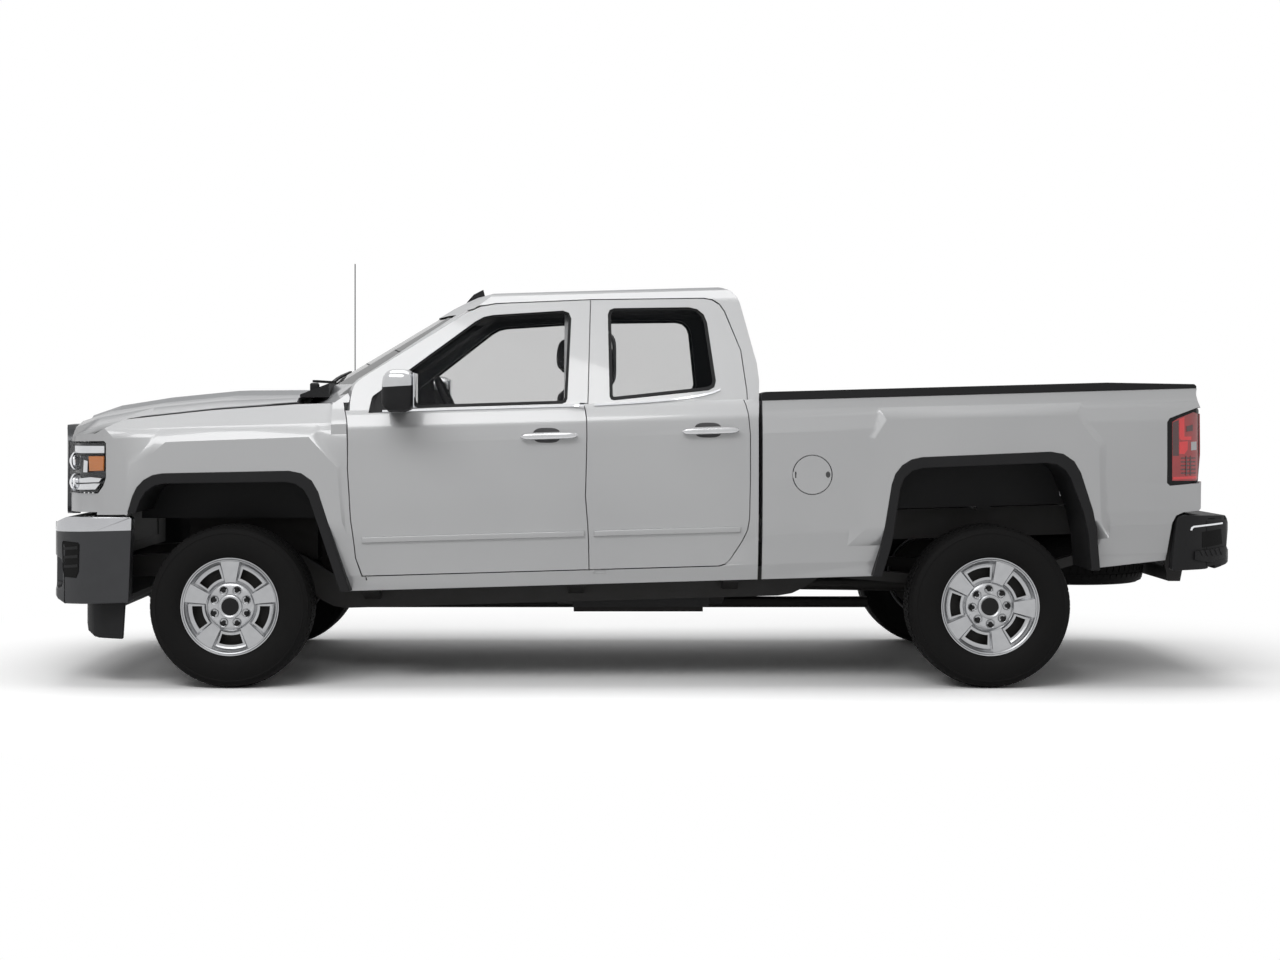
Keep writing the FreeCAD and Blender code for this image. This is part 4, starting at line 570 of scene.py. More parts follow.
def wheels():
    """Four wheels that turn, and the spare under the bed."""
    kinds = (("tyre", tyre_mesh, RUBBER), ("alloy", alloy_mesh, ALLOY), ("barrel", barrel_mesh, ALLOY_DARK),
             ("hub", hub_mesh, ALLOY), ("nuts", nut_mesh, GLOSS_BLACK), ("brake", brake_mesh, IRON))
    cad = {"tyre": "tyre", "alloy": "rim"}
    for kind, make, finish in kinds:
        template = make()
        smooth = 24.0 if kind == "alloy" else 30.0
        for hand, sign in SIDES.items():
            for end, axle, turn in (("front", FRONT_AXLE, 0.0), ("rear", REAR_AXLE, radians(20.0))):
                place = Matrix.Translation((axle, sign * WHEEL_TRACK, WHEEL_LEVEL))
                if sign > 0:
                    place = place @ Matrix.Scale(-1.0, 4, (0, 1, 0))
                place = place @ Matrix.Rotation(turn, 4, "Y")
                copy = moved(template.copy(), place)
                stands_for = (f"{end}_{cad[kind]}_{hand}",) if kind in cad else ()
                show(f"{end}_{kind}_{hand}", copy, finish, f"{end}_{hand}_wheel", smooth, stands_for)
        template.free()
    flat = Matrix.Translation(SPARE_PLACE) @ Matrix.Rotation(pi / 2, 4, "X")
    show("spare_tyre", moved(tyre_mesh(), flat), RUBBER, smooth=30.0, stands_for=("spare_wheel",))
    steel = disc_piece([(0, -40), (90, -40), (100, -55), (150, -70), (200, -50), (225, -60), (236.5, -104),
                        (236.5, 104), (220, 90), (210, 0), (190, -30), (140, -50), (90, -20), (0, -20)], 64)
    show("spare_rim", moved(steel, flat), STEEL, smooth=30.0)


wheels()


# ---- body panels

BUMPER_NOSE = -2.9
BUMPER_CREASE = 0.748


def faces_cabin(spot, normal):
    """True for faces that look into the cabin."""
    inside = -1.42 < spot.x < 0.5 and abs(spot.y) < 0.93 and spot.z > 0.5
    towards = Vector((-0.35, 0.0, 1.1)) - spot
    towards.x *= 0.3
    return inside and normal.dot(towards.normalized()) > 0.25


def faces_inward(spot, normal):
    """True for faces that look towards the truck's middle."""
    return normal.y * copysign(1.0, spot.y) < -0.3


def faces_engine(spot, normal):
    """True for faces that look down."""
    return normal.z < -0.3


def faces_under_bed(spot, normal):
    """Undersides and the inside of the rear arches."""
    outward = normal.y * copysign(1.0, spot.y)
    return abs(spot.y) < 0.94 and (normal.z < -0.3 or (outward > 0.3 and spot.z < 1.1))


def painted_reflection_strip(spot, normal):
    """True above the crease of the front bumper, where a brighter band is painted reflection."""
    return spot.z > BUMPER_CREASE + RAKE * (spot.x - BUMPER_NOSE)


def settle_flare(bm):
    """Lets the lower ends of the rear flares run out into the panel."""
    skin = tree_of("cargo_bed")
    for vert in bm.verts:
        at = 2.42 if vert.co.x > REAR_AXLE else 0.96
        if vert.co.z < 0.74 and 1.0 < vert.co.x < 2.35 and abs(vert.co.x - REAR_AXLE) > 0.5:
            sign = copysign(1.0, vert.co.y)
            panel = skin_y(skin, at, vert.co.z, sign)
            if abs(vert.co.y) > abs(panel):
                vert.co.y = panel


dressed("cab_shell", PAINT, 0.0, TRIM, faces_cabin)
for hand in SIDES:
    for end in ("front", "rear"):
        dressed(f"{end}_door_{hand}", PAINT, 0.0, TRIM, faces_inward)
dressed("front_fenders", PAINT, 0.0, BLACK, faces_inward)
dressed("hood", PAINT, 0.0, BLACK, faces_engine)
dressed("cargo_bed", PAINT, 0.0, BLACK, faces_under_bed, settle=settle_flare)
dressed("tailgate", PAINT)
dressed("fuel_door", PAINT)
dressed("wheel_arches", BLACK, 0.005)
dressed("bed_rail_caps", BLACK, 0.003)
dressed("air_dam", BLACK, 0.006)
# Painted reflection: the one chrome bumper is dark graphite below its crease and a bright band above it, standing in
# for ground and sky reflected in it.
dressed("front_bumper", GRAPHITE, 0.008, PAINTED_REFLECTION_BAND, painted_reflection_strip, ((BUMPER_NOSE, 0.0, BUMPER_CREASE), (-RAKE, 0.0, 1.0)))
dressed("rear_bumper", BLACK, 0.006)
dressed("grille", DARK_CHROME)


# ---- windows

def window_seal(node, width):
    """Black rubber run around a door window, taken from the pane's own outline."""
    bm = merged(node)
    pane = max(bm.faces, key=lambda face: (round(face.calc_area(), 3), abs(face.calc_center_median().y)))
    bmesh.ops.delete(bm, geom=[face for face in bm.faces if face is not pane], context="FACES")
    pane = bm.faces[:][0]
    sign = copysign(1.0, pane.calc_center_median().y)
    bmesh.ops.inset_individual(bm, faces=[pane], thickness=width, use_even_offset=True)
    bmesh.ops.delete(bm, geom=[pane], context="FACES")
    bmesh.ops.translate(bm, vec=(0.0, sign * 0.0012, 0.0), verts=bm.verts)
    face_out(bm)
    if sum(face.normal.y * sign for face in bm.faces) < 0:
        bmesh.ops.reverse_faces(bm, faces=bm.faces)
    bmesh.ops.solidify(bm, geom=bm.faces[:], thickness=-0.007)
    face_out(bm)
    show("seal_" + node, bm, BLACK, nodes[node]["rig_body"])


for hand in SIDES:
    window_seal("front_door_glass_" + hand, 0.014)
    window_seal("rear_door_glass_" + hand, 0.016)


# ---- pieces on the bodyside

def on_skin(name, spots, target, sign, proud, thick, finish, body="chassis", slot=None, ring=0.0, roll=0.0, grid=0.03,
            level=None):
    """A plate drawn in side view by (x, z) spots and laid on the skin, standing proud of it."""
    bm = bmesh.new()
    face = bm.faces.new([bm.verts.new((x, 0.0, z)) for x, z in spots])
    if ring:
        bmesh.ops.inset_individual(bm, faces=[face], thickness=ring, use_even_offset=True)
        bmesh.ops.delete(bm, geom=[face], context="FACES")
    for axis, step, normal in ((0, grid, Vector((1.0, 0.0, 0.0))), (2, 2.0 * grid, Vector((0.0, 0.0, 1.0)))):
        reach = [vert.co[axis] for vert in bm.verts]
        for count in range(1, int((max(reach) - min(reach)) / step) + 1):
            cut(bm, normal * (min(reach) + count * step), normal)
    for vert in bm.verts:
        vert.co.y = skin_y(target, vert.co.x, level or vert.co.z, sign) + sign * proud
    bm.normal_update()
    if sum(face.normal.y * sign * face.calc_area() for face in bm.faces) < 0:
        bmesh.ops.reverse_faces(bm, faces=bm.faces)
    back = corners_of(bmesh.ops.extrude_face_region(bm, geom=bm.faces[:], use_keep_orig=True))
    bmesh.ops.translate(bm, vec=(0.0, -sign * thick, 0.0), verts=back)
    face_out(bm)
    if roll:
        rim = [edge for edge in bm.edges if edge.is_manifold and edge.calc_face_angle() > radians(50.0)
               and not any(vert in back for vert in edge.verts)]
        rolled(bm, rim, roll, 3, clamp_overlap=True)
    show(name, bm, finish, body)


LAMP_GRID = 0.016


def lifted(x):
    """How far the raked body rises at a station."""
    return RAKE * (x - FRONT_AXLE)


def door_trim(hand, sign):
    """Side mouldings, belt strips, pull handles with their cups, and the sail of the mirror."""
    runs = {"front": ((-1.332, -0.262), ((-1.236, 1.3095), (-0.262, 1.3095))),
            "rear": ((-0.216, 0.49), ((-0.214, 1.3105), (-0.05, 1.3145), (0.06, 1.319), (0.16, 1.3255),
                                       (0.24, 1.333), (0.31, 1.343), (0.36, 1.354), (0.396, 1.368)))}
    for end, (moulding, belt) in runs.items():
        door = f"{end}_door_{hand}"
        body = f"{end}_{hand}_door"
        skin = tree_of(door)
        low, high = moulding
        corners = [(low, 0.6935 + lifted(low)), (low, 0.7085 + lifted(low)), (low + 0.01, 0.7105 + lifted(low)),
                   (high, 0.7105 + lifted(high)), (high, 0.6825 + lifted(high)), (low, 0.6825 + lifted(low))]
        on_skin(f"{end}_moulding_{hand}", corners, skin, sign, 0.011, 0.018, PAINT, body, roll=0.004, grid=0.12)
        glass = tree_of(door, f"{end}_door_glass_{hand}")
        lower = [(x, z + lifted(x)) for x, z in belt]
        upper = [(x, z + 0.009) for x, z in reversed(lower)]
        on_skin(f"{end}_belt_{hand}", lower + upper, glass, sign, 0.006, 0.012, CHROME, body, grid=0.1)
        handle_trim(end, hand, sign, skin, body)
    sail = [(-1.303, 1.327), (-1.292, 1.395), (-1.232, 1.452), (-1.168, 1.502), (-1.138, 1.502), (-1.13, 1.334)]
    on_skin("sail_" + hand, sail, tree_of("front_door_" + hand, "front_door_glass_" + hand), sign, 0.004, 0.012, BLACK,
            f"front_{hand}_door", roll=0.002)


def handle_trim(end, hand, sign, skin, body):
    """Bright grip with a key barrel, over an oval cup that is painted shade."""
    middle, level = (-0.4305, 1.2165) if end == "front" else (0.344, 1.2415)
    rings = []
    for step in range(25):
        run = step / 24.0
        x = middle + (run - 0.5) * 0.272
        swell = (1.0 - abs(2.0 * run - 1.0) ** 7) ** 0.5
        tall = 0.0045 + 0.0125 * swell
        deep = 0.006 + 0.005 * swell
        out = sign * (1.0275 + 0.004 * swell)
        rings.append([(x, out + sign * deep * cos(t), level + tall * sin(t) + RAKE * (x - middle))
                      for t in turns(16)])
    grip = loft(rings)
    for x in (middle - 0.098, middle + 0.098):
        join_into(grip, block((x - 0.016, x + 0.016), sign * 1.003, (level - 0.008, level + 0.008), 0.018, 0.004))
    show(f"{end}_grip_{hand}", grip, BRIGHT, body, smooth=40.0)
    cup = [(middle - 0.012 + 0.066 * copysign(abs(cos(t)) ** 0.6, cos(t)),
            level + 0.002 + 0.036 * copysign(abs(sin(t)) ** 0.8, sin(t))) for t in turns(28)]
    # Painted shade: a thin grey plate stands for the shaded hollow behind the grip.
    on_skin(f"{end}_cup_{hand}", cup, skin, sign, 0.0012, 0.004, CUP_SHADE, body)


def mirror_piece(hand, sign):
    """Door mirror: bright upper cap, black lower housing, foot, arm and glass."""
    body = f"front_{hand}_door"
    seam, slope, middle, out = 1.452, 0.06, -1.14, 1.166
    bm = block((-1.217, -1.058), sign * out, (1.334, 1.532), 0.12, 0.052, 6)
    for vert in bm.verts:
        down = (1.532 - vert.co.z) / 0.198
        vert.co.x += 0.012 * (1.0 - down) * (vert.co.x < middle)
        vert.co.y -= sign * 0.018 * down * (vert.co.y * sign > out)
    cut(bm, (middle, 0.0, seam), (-slope, 0.0, 1.0))
    made = show("mirror_housing_" + hand, bm, BRIGHT, body, 40.0, ("mirror_" + hand,))
    made.data.materials.append(BLACK)
    for polygon in made.data.polygons:
        if polygon.center.z < seam + slope * (polygon.center.x - middle):
            polygon.material_index = 1
    foot = block((-1.206, -1.11), sign * 1.014, (1.33, 1.384), 0.048, 0.016)
    join_into(foot, block((-1.196, -1.118), sign * 1.076, (1.338, 1.38), 0.04, 0.018))
    show("mirror_foot_" + hand, foot, BLACK, body, smooth=40.0)
    glass = block((-1.0615, -1.0565), sign * 1.163, (1.352, 1.515), 0.098, 0.002)
    show("mirror_glass_" + hand, glass, MIRROR, body, smooth=40.0)


def headlamp(hand, sign):
    """Painted fillers, then dark bowl, bright reflector strip, amber block and chrome bars behind the clear cover."""
    skin = tree_of("headlamps")
    for part, spots in (("under", [(-2796, 842), (-2612.5, 846), (-2612.5, 936), (-2796, 934)]),
                        ("over", [(-2796, 1185), (-2580, 1191), (-2580, 1226), (-2650, 1226), (-2796, 1205)])):
        on_skin(f"lamp_{part}_{hand}", metres(spots), skin, sign, -0.003, 0.004, PAINT, grid=LAMP_GRID, level=1.1)
    whole = [(-2800, 938), (-2640, 940), (-2624, 944), (-2596, 985), (-2578, 1022), (-2577, 1168), (-2588, 1180),
             (-2800, 1176)]
    parts = (
        ("bowl", -0.04, 0.004, DARK_CHROME, 0, 0, whole),
        ("bezel", 0.0006, 0.006, GLOSS_BLACK, 0.0085, 0, whole),
        ("upper", -0.022, 0.004, CHROME, 0, 0, [(-2788, 1128), (-2584, 1132), (-2584, 1166), (-2788, 1164)]),
        ("blade", -0.01, 0.01, GLOSS_BLACK, 0, 0, [(-2788, 1116), (-2584, 1120), (-2584, 1127), (-2788, 1123)]),
        ("amber", -0.014, 0.012, AMBER, 0, 0.004, [(-2668, 1042), (-2586, 1046), (-2584, 1118), (-2672, 1116)]),
        ("bar", -0.012, 0.012, CHROME, 0, 0.003, [(-2704, 1036), (-2678, 1036), (-2676, 1092), (-2700, 1098)]),
        ("wedge", -0.016, 0.01, CHROME, 0, 0.003,
         [(-2776, 1000), (-2660, 1014), (-2596, 1010), (-2612, 990), (-2770, 982)]),
        ("lower", -0.018, 0.01, CHROME, 0, 0.003,
         [(-2772, 974), (-2640, 984), (-2606, 984), (-2634, 954), (-2772, 948)]),
    )
    for part, proud, thick, finish, ring, roll, spots in parts:
        on_skin(f"lamp_{part}_{hand}", metres(spots), skin, sign, proud, thick, finish, ring=ring, roll=roll,
                grid=LAMP_GRID)
    facing = Matrix.Rotation(radians(64.0 if sign < 0 else -244.0), 4, "Z")
    for level in (1.09, 0.985):
        bulb = disc_piece([(0, -12), (22, -9), (34, 0), (37, 4), (45, 4), (47, 12), (30, 30), (0, 34)], 40)
        moved(bulb, Matrix.Translation((-2.752, sign * 0.775, level)) @ facing)
        show(f"lamp_lens_{hand}_{round(level * 1000)}", bulb, CHROME, smooth=30.0)


def tail_lamp(hand, sign):
    """Red lens over the black base, its bright bars, a dark lattice and a small white window, and the same behind."""
    skin = tree_of("tail_lamps")
    layers = [
        ("red", 0.0016, RED, [(2562, 1000), (2562, 1282), (2590, 1300), (2672, 1330), (2698, 1322), (2700, 1010),
                              (2690, 1000)]),
        ("deep", 0.0026, RED_DEEP, [(2563.5, 1120), (2563.5, 1280), (2593, 1292), (2594, 1120)]),
        ("bright", 0.003, RED_BRIGHT, [(2596, 1205), (2596, 1296), (2622, 1306), (2622, 1212), (2660, 1212),
                                       (2660, 1196), (2606, 1196)]),
        ("middle", 0.003, RED_BRIGHT, [(2596, 1130), (2596, 1186), (2640, 1190), (2640, 1150), (2622, 1128)]),
        ("low", 0.003, RED_BRIGHT, [(2566, 1006), (2566, 1018), (2690, 1022), (2690, 1010)]),
        ("window", 0.0034, WHITE_LENS, [(2658, 1146), (2658, 1186), (2690, 1188), (2690, 1148)]),
    ]
    for row in range(5):
        low = 1034 + 18 * row
        layers.append((f"lattice_{row}", 0.003, RED_DEEP, [(2604, low), (2604, low + 6), (2684, low + 6), (2684, low)]))
    for column in (2628, 2652):
        layers.append((f"post_{column}", 0.0036, RED_DEEP,
                       [(column, 1026), (column, 1120), (column + 6, 1120), (column + 6, 1026)]))
    layers.append(("dark", 0.003, RED_DEEP, [(2632, 1236), (2632, 1262), (2668, 1270), (2668, 1240)]))
    for part, proud, finish, spots in layers:
        on_skin(f"tail_{part}_{hand}", metres(spots), skin, sign, proud, 0.004, finish, slot="red_lens")
    backs = (("red", 1.006, 1.322, 0.878, 0.94, 0.0016, RED),
             ("bright", 1.24, 1.312, 0.884, 0.934, 0.003, RED_BRIGHT),
             ("window", 1.146, 1.186, 0.884, 0.934, 0.0034, WHITE_LENS),
             ("deep", 1.03, 1.118, 0.884, 0.934, 0.003, RED_DEEP))
    for kind, low, high, inner, outer, proud, finish in backs:
        rings = []
        for step in range(9):
            z = low + (high - low) * step / 8.0
            face = skin.ray_cast(Vector((3.0, sign * 0.905, z)), Vector((-1.0, 0.0, 0.0)))[0].x
            near, far = face + proud, face - 0.004
            rings.append([(x, sign * y, z) for x, y in ((near, inner), (near, outer), (far, outer), (far, inner))])
        show(f"tail_back_{kind}_{hand}", loft(rings), finish)


def bumper_trim(hand, sign):
    """Black recess with louvres in the front corner, its depth a near-black plate of painted shade; bright line, ridged
    step and a pocket of painted shade at the rear.
    """
    def plate(name, spots, target, proud, thick, finish, **more):
        on_skin(name, metres(spots), target, sign, proud, thick, finish, **more)

    front = tree_of("front_bumper")
    recess = [(-2792, 568), (-2780, 532), (-2716, 530), (-2702, 560), (-2698, 690), (-2706, 700), (-2790, 706),
              (-2796, 696)]
    # Painted shade: the recess floor is a flat near-black plate over the black plastic.
    plate("recess_" + hand, recess, front, 0.0015, 0.004, PIT_BLACK_AND_SHADE)
    plate("recess_rim_" + hand, recess, front, 0.004, 0.006, GRAPHITE, ring=0.005, roll=0.0015)
    for row, low in enumerate((575, 620, 662)):
        fin = [(-2786, low), (-2786, low + 12), (-2706, low + 22), (-2706, low + 6)]
        plate(f"louvre_{hand}_{row}", fin, front, 0.0035, 0.004, BLACK)
    plan = [(2742, 957), (2764, 948), (2788, 934), (2812, 919), (2836, 902), (2856, 883)]
    rings = []
    for x, y in metres(plan):
        base = 0.583 + (x - 2.742) * 0.14
        inner = sign * (y - 0.05)
        rings.append([(x, sign * y, base), (x, sign * y, 0.806), (x - 0.004, sign * (y - 0.01), 0.816),
                      (x - 0.01, inner, 0.816), (x - 0.01, inner, base)])
    corner = loft(rings)
    whole = corner.copy()
    whole.from_mesh(nodes["rear_bumper"].data)
    rear = BVHTree.FromBMesh(whole)
    whole.free()
    show("bumper_corner_" + hand, corner, BLACK)
    line = [(2650, 762), (2655, 776), (2668, 783), (2836, 795), (2836, 787), (2671, 775), (2663, 769), (2661, 761)]
    step = [(2672, 620), (2674, 660), (2850, 676), (2862, 664), (2846, 628), (2760, 604)]
    pocket = [(2716, 676), (2716, 752), (2826, 764), (2834, 690)]
    plate("rear_line_" + hand, line, rear, 0.003, 0.006, CHROME, grid=0.02)
    plate("rear_step_" + hand, step, rear, 0.01, 0.016, BLACK, roll=0.003, grid=0.02)
    for row in range(5):
        x = 2700 + 28 * row
        rib = [(x, 662 + row), (x + 6, 667 + row), (x + 22, 640), (x + 16, 636)]
        plate(f"step_rib_{hand}_{row}", rib, rear, 0.013, 0.006, BLACK, grid=0.02)
    # Painted shade: the pocket is a flat near-black plate standing for the hollow.
    plate("rear_pocket_" + hand, pocket, rear, 0.0015, 0.004, PIT_BLACK_AND_SHADE, grid=0.02)


def small_trim(hand, sign):
    """Aprons over the front tyres, wheelhouse ends, sill covers, pegs on the rails and the pull of the fuel door, a
    plate of painted shade.
    """
    show("apron_" + hand, block((-2.47, -1.44), sign * 0.64, (0.8, 1.165), 0.004, 0.002), BLACK)
    slope = [(2.134, 0.885), (2.11, 0.95), (2.092, 1.0), (2.0755, 1.04)]
    plate = slope + [(x - 0.004, z) for x, z in reversed(slope)]
    show("wheelhouse_end_" + hand, loft([[(x, sign * y, z) for x, z in plate] for y in (0.65, 0.802)]), PAINT)
    cover = [(-0.226, 0.549), (-0.226, 0.567), (-0.156, 0.569), (-0.156, 0.551)]
    on_skin("sill_cover_" + hand, cover, tree_of("cab_shell"), sign, 0.0006, 0.004, PAINT, level=0.54)
    # The peg takes the glowing white lens finish: its glow is a painted highlight on the rail.
    show("rail_peg_" + hand, block((2.23, 2.24), sign * 0.975, (1.452, 1.466), 0.004, 0.0015), WHITE_LENS)
    if hand == "left":
        tab = [(0.908 + 0.011 * cos(t), 1.03 + 0.015 * sin(t)) for t in turns(20)]
        # Painted shade: a thin grey plate stands for the shaded finger pull.
        on_skin("fuel_tab", tab, tree_of("fuel_door"), sign, 0.0012, 0.003, CUP_SHADE, "fuel_door")


def top_z(target, x, y):
    """Where a plumb line from above meets the hood or the windscreen."""
    hit = target.ray_cast(Vector((x, y, 2.6)), Vector((0.0, 0.0, -1.0)))[0]
    return hit.z if hit else 1.45


def cowl():
    """Black panel at the foot of the windscreen, two wiper arms with their posts, and a black bar of painted shade in
    the gap behind the cab.
    """
    ground = tree_of("hood", "cab_shell", "fixed_glass", "front_fenders")
    half = 0.84
    rings = []
    for step in range(25):
        y = -half + 2.0 * half * step / 24.0
        round_off = 1.0 - (y / half) ** 2
        bow = 0.02 * round_off
        front, back = -1.652 - bow, -1.512 - bow
        rise = 0.012 * round_off
        rings.append([(x, y, z + rise) for x, z in ((front, 1.402), (front, 1.416), (back, 1.47), (back, 1.402))])
    show("cowl_panel", loft(rings), BLACK)
    wipers = bmesh.new()
    for start, end in (((-1.6, -0.7), (-1.5, -0.06)), ((-1.6, 0.02), (-1.5, 0.64))):
        spine = []
        for step in range(9):
            run = step / 8.0
            x, y = [first + (last - first) * run for first, last in zip(start, end)]
            z = max(top_z(ground, x, y), 1.466) + 0.016 - 0.004 * run
            thin = 0.011 - 0.005 * run
            spine.append([(x + thin * along, y, z + 0.006 * up) for along, up in ((-1, -1), (-1, 1), (1, 1), (1, -1))])
        post = block((start[0] - 0.022, start[0] + 0.022), start[1], (1.425, 1.474), 0.022, 0.01)
        join_into(wipers, post, loft(spine))
    show("wipers", wipers, BLACK)
    # Painted shade: a black bar fills the open gap between cab and bed.
    show("gap_shade_bar", block((0.583, 0.597), 0.0, (0.64, 0.695), 0.9, 0.002), BLACK)


for hand, sign in SIDES.items():
    door_trim(hand, sign)
    mirror_piece(hand, sign)
    headlamp(hand, sign)
    tail_lamp(hand, sign)
    bumper_trim(hand, sign)
    small_trim(hand, sign)
cowl()
dressed("headlamps", CLEAR)
dressed("tail_lamps", GLOSS_BLACK, 0.002)


# ---- steering wheel

def steering_wheel():
    """Rim, boss and three spokes about the column's axis."""
    bm = bmesh.new()
    join_into(bm, disc_piece([(176 + 14 * cos(t), 14 * sin(t)) for t in turns(12) + [tau]], 64),
              disc_piece([(0, 24), (40, 22), (58, 8), (55, -20), (0, -24)], 32))
    for turn in (0.0, pi, pi * 1.5):
        spoke = rounded((0.045, -0.006, -0.019), (0.17, 0.006, 0.019), 0.005, 2)
        join_into(bm, moved(spoke, Matrix.Rotation(turn, 4, "Y")))
    tilt = Matrix.Rotation(radians(-90.0), 4, "Z")
    lean = Matrix.Rotation(radians(-26.0), 4, "Y")
    moved(bm, Matrix.Translation((-0.94, -0.43, 1.3464)) @ lean @ tilt)
    show("driver_wheel", bm, TRIM, "steering_wheel", smooth=40.0, stands_for=("steering_wheel",))


steering_wheel()


# ---- seats

def baked(piece):
    """The mesh of a piece with its modifiers worked in."""
    view = bpy.context.evaluated_depsgraph_get()
    view.update()
    return bpy.data.meshes.new_from_object(piece.evaluated_get(view))


def seat_form(low, high, roll, lean=0.0, taper=0.0, bolster=0.0):
    """Rounded block that leans back along X, narrows upward and lifts at its sides."""
    bm = rounded(low, high, roll)
    middle = (low[1] + high[1]) / 2
    half = (high[1] - low[1]) / 2
    for vert in bm.verts:
        run = (vert.co.z - low[2]) / (high[2] - low[2])
        vert.co.y = middle + (vert.co.y - middle) * (1.0 - taper * max(0.0, run))
        vert.co.x += lean * run
    if bolster:
        bmesh.ops.subdivide_edges(bm, edges=bm.edges, cuts=3, use_grid_fill=True)
        for vert in bm.verts:
            side = max(0.0, abs(vert.co.y - middle) / half - 0.55) / 0.45
            if vert.co.z > (low[2] + high[2]) / 2:
                vert.co.z += bolster * side
    return bm


def inflate(forms, voxel=0.014, travel=0.024):
    """Blows padded forms up a little under pressure, then hands back their meshes."""
    pads = {}
    for name, bm in forms.items():
        mesh = bpy.data.meshes.new(name)
        bm.to_mesh(mesh)
        bm.free()
        pad = put(name, mesh)
        skin = pad.modifiers.new("skin", "REMESH")
        skin.mode = "VOXEL"
        skin.voxel_size = voxel
        pads[name] = pad
    for pad in pads.values():
        even = baked(pad)
        pad.modifiers.clear()
        pad.data = even
    for pad in pads.values():
        cloth = pad.modifiers.new("pad", "CLOTH").settings
        cloth.use_pressure = True
        cloth.uniform_pressure_force = 4.0
        cloth.effector_weights.gravity = 0.0
    for moment in range(1, 21):
        scene.frame_set(moment)
    for pad in pads.values():
        blown = baked(pad)
        for before, after in zip(pad.data.vertices, blown.vertices):
            shift = after.co - before.co
            if shift.length > travel:
                after.co = before.co + shift.normalized() * travel
        pad.modifiers.clear()
        pad.data = blown
    scene.frame_set(1)
    meshes = {}
    for name, pad in pads.items():
        meshes[name] = bmesh.new()
        meshes[name].from_mesh(pad.data)
        bpy.data.objects.remove(pad)
    return meshes


def sewn(bm, axis, places, depth=0.01, width=0.012):
    """Presses sewn channels into a pad at places along an axis."""
    bm.normal_update()
    moves = []
    for vert in bm.verts:
        press = sum(exp(-((vert.co[axis] - place) / width) ** 2) for place in places)
        if press > 0.02:
            moves.append((vert, vert.normal * -depth * min(1.0, press)))
    for vert, move in moves:
        vert.co += move


def seats():
    """Padded front seats and rear bench on their stands."""
    forms = {
        "cushion": seat_form((-0.822, -0.672, 0.735), (-0.32, -0.208, 0.875), 0.045, 0.0, 0.0, 0.022),
        "backrest": seat_form((-0.395, -0.662, 0.875), (-0.29, -0.218, 1.48), 0.042, 0.02, 0.12),
        "headrest": seat_form((-0.404, -0.556, 1.54), (-0.316, -0.324, 1.696), 0.028, 0.012, 0.1),
        "bench": seat_form((0.012, -0.68, 0.79), (0.352, 0.68, 0.892), 0.04),
        "bench_back": seat_form((0.3, -0.68, 0.87), (0.398, 0.68, 1.462), 0.04, 0.07),
    }
    pads = inflate(forms)
    sewn(pads["cushion"], 1, (-0.565, -0.315))
    sewn(pads["backrest"], 1, (-0.56, -0.32))
    sewn(pads["cushion"], 0, (-0.66,), 0.007)
    sewn(pads["backrest"], 2, (1.34,), 0.007)
    sewn(pads["bench"], 1, (-0.2, 0.2))
    sewn(pads["bench_back"], 1, (-0.2, 0.2))
    stands = {"cushion": ("front_seats",), "bench": ("rear_bench",)}
    for kind, bm in pads.items():
        for hand in ("both",) if "bench" in kind else SIDES:
            copy = bm.copy()
            if hand == "right":
                moved(copy, Matrix.Scale(-1.0, 4, (0, 1, 0)))
            stands_for = () if hand == "right" else stands.get(kind, ())
            pad = show(f"seat_{kind}_{hand}", copy, CLOTH, smooth=180.0, stands_for=stands_for)
            rounder = pad.modifiers.new("rounder", "SUBSURF")
            rounder.levels = 1
            rounder.render_levels = 1
        bm.free()
    for hand, sign in SIDES.items():
        middle = sign * 0.44
        stand = block((-0.8, -0.36), middle, (0.6, 0.748), 0.19, 0.02)
        for side in (-0.055, 0.055):
            join_into(stand, block((-0.318, -0.306), middle + side, (1.455, 1.58), 0.006, 0.004))
        show("seat_frame_" + hand, stand, TRIM)
    show("bench_frame", block((0.06, 0.33), 0.0, (0.622, 0.8), 0.63, 0.02), TRIM)


def dashboard():
    """Facia with an instrument cowl, air vents and a centre stack with a blank screen."""
    dressed("dashboard", TRIM)
    detail = rounded((-1.13, -0.6, 1.325), (-0.985, -0.265, 1.372), 0.02)
    join_into(detail, block((-1.08, -0.968), 0.0, (1.08, 1.335), 0.15, 0.018))
    for place in (-0.7, 0.7):
        join_into(detail, block((-1.02, -0.972), place, (1.255, 1.31), 0.06, 0.012))
    show("dash_details", detail, TRIM)
    screen = block((-0.972, -0.964), 0.0, (1.215, 1.318), 0.11, 0.003)
    show("dash_screen", screen, GLOSS_BLACK)


def grab_handles():
    """Upright pull handles inside the pillars between the doors."""
    for hand, sign in SIDES.items():
        middle = sign * 0.79
        rings = []
        for step in range(17):
            run = step / 16.0
            x = -0.146 + 0.03 * (1.0 - abs(2.0 * run - 1.0) ** 6)
            rings.append([(x + 0.01 * cos(t), middle + 0.014 * sin(t), 1.452 + 0.268 * run) for t in turns(12)])
        bm = loft(rings)
        for heights in ((1.446, 1.474), (1.698, 1.726)):
            join_into(bm, block((-0.168, -0.14), middle, heights, 0.016, 0.006))
        show("grab_handle_" + hand, bm, HANDLE_GREY, smooth=40.0)


seats()
dashboard()
grab_handles()


# ---- stage

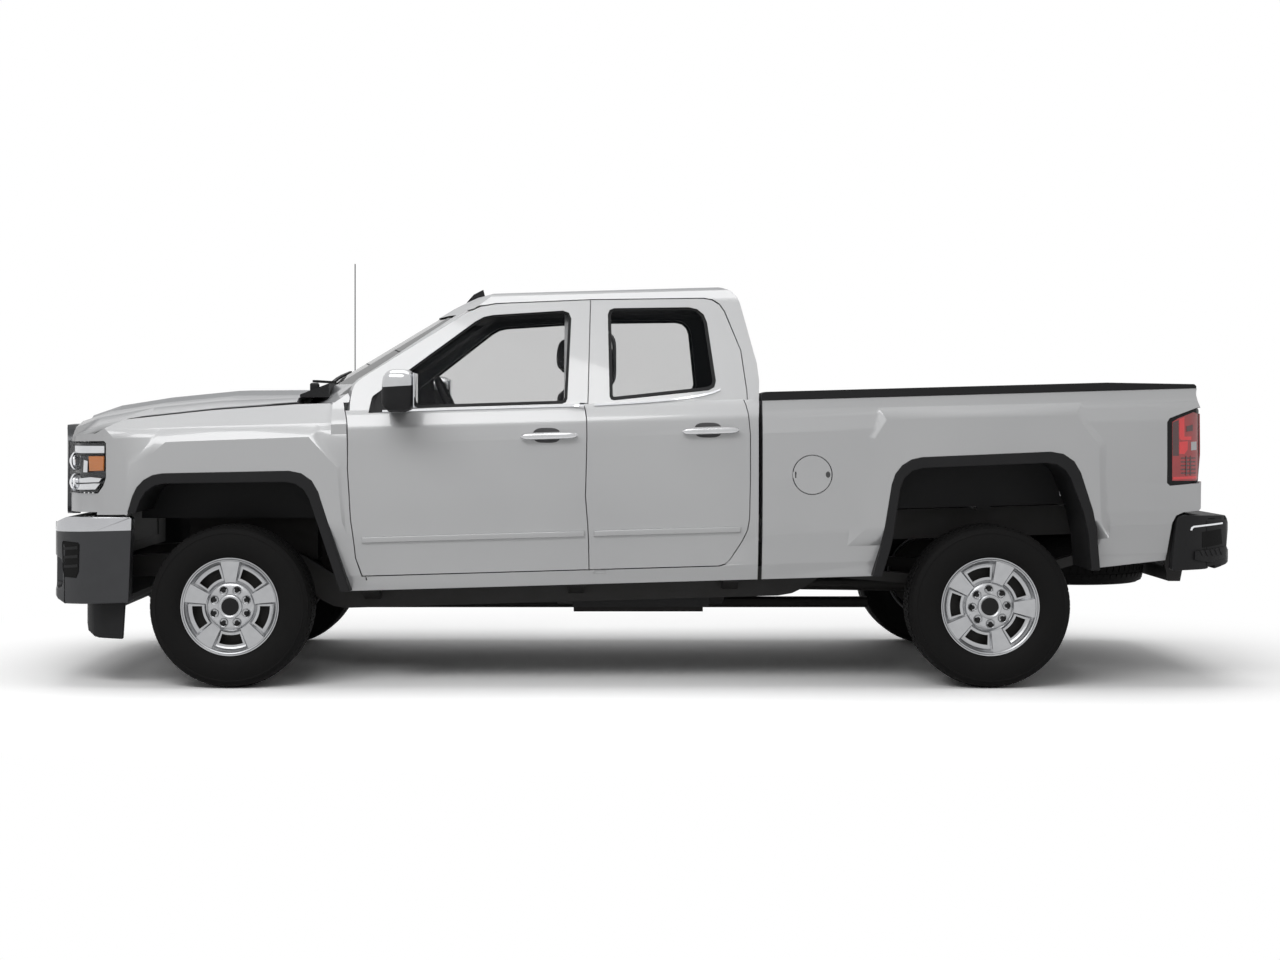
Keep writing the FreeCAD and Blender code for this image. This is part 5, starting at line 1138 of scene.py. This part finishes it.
def camera():
    """The photograph's view: a long lens from the left side."""
    optics = bpy.data.cameras.new("view")
    optics.sensor_width = 36.0
    optics.lens = 54.81
    optics.shift_x = 0.0373
    optics.shift_y = -0.0589
    optics.clip_end = 200.0
    seen = put("view", optics)
    seen.location = (-0.224, -10.363, 1.366)
    seen.rotation_euler = (radians(90.0), 0.0, 0.0)
    scene.camera = seen


def soft_box(name, place, target, width, height, watts):
    """A large lamp that faces a target."""
    lamp = bpy.data.lights.new(name, "AREA")
    lamp.shape = "RECTANGLE"
    lamp.size = width
    lamp.size_y = height
    lamp.energy = watts
    holder = put(name, lamp)
    holder.location = place
    holder.rotation_euler = (Vector(target) - Vector(place)).to_track_quat("-Z", "Y").to_euler()


def backdrop():
    """White to the eye; as light, brighter overhead than at the horizon."""
    world = bpy.data.worlds.new("studio")
    world.use_nodes = True
    scene.world = world
    sky = Graph(world.node_tree)
    soft = sky.tree.nodes["Background"]
    sky.plug(soft.inputs["Color"], (1.0, 1.0, 1.0, 1.0))
    place = sky.add("ShaderNodeTexCoord", {}, "Generated")
    height = sky.add("ShaderNodeSeparateXYZ", {0: place}, "Z")
    overhead = sky.add("ShaderNodeMapRange", {"Value": height, "From Max": 0.7, "To Min": 0.1, "To Max": 0.46})
    sky.plug(soft.inputs["Strength"], sky.add("ShaderNodeMapRange", {"Value": sky.seen_by_eye(), "To Min": overhead}))


def floor():
    """Grey to bounced light; to the eye a white ground that takes the shadow and fades into the backdrop."""
    bm = bmesh.new()
    bmesh.ops.create_grid(bm, x_segments=1, y_segments=1, size=60.0)
    mesh = bpy.data.meshes.new("floor")
    bm.to_mesh(mesh)
    bm.free()
    plane = put("floor", mesh)
    ground = Finish("floor", Roughness=1.0, Specular_IOR_Level=0.0)
    grain = ground.noise(3.0)
    ground.feed(Base_Color=ground.blend(grain, (0.26, 0.26, 0.26), (0.3, 0.3, 0.3)))
    white = [ground.add("ShaderNodeBsdfDiffuse", {"Color": (tone, tone, tone, 1.0)}) for tone in (1.0, 0.35)]
    near = ground.add("ShaderNodeAddShader", dict(enumerate(white)))
    far = ground.add("ShaderNodeEmission", {"Strength": 1.0})
    reach = ground.add("ShaderNodeVectorMath", {0: ground.spot((0.62, 1.0, 1.0))}, "Value", operation="LENGTH")
    fade = ground.add("ShaderNodeMapRange", {"Value": reach, "From Min": 1.7, "From Max": 3.2},
                      interpolation_type="SMOOTHSTEP")
    shown = ground.add("ShaderNodeMixShader", {0: fade, 1: near, 2: far})
    bounced = Shade(ground, ground.surface.outputs[0])
    choice = ground.add("ShaderNodeMixShader", {0: ground.seen_by_eye(), 1: bounced, 2: shown})
    ground.plug(ground.tree.nodes["Material Output"].inputs["Surface"], choice)
    mesh.materials.append(ground.material)


camera()
soft_box("key", (-3.0, -7.0, 7.0), (0.0, 0.0, 0.8), 7.0, 3.0, 260.0)
soft_box("top", (0.0, 0.0, 7.5), (0.0, 0.0, 0.0), 8.0, 4.0, 260.0)
backdrop()
floor()
scene.view_settings.view_transform = "Standard"
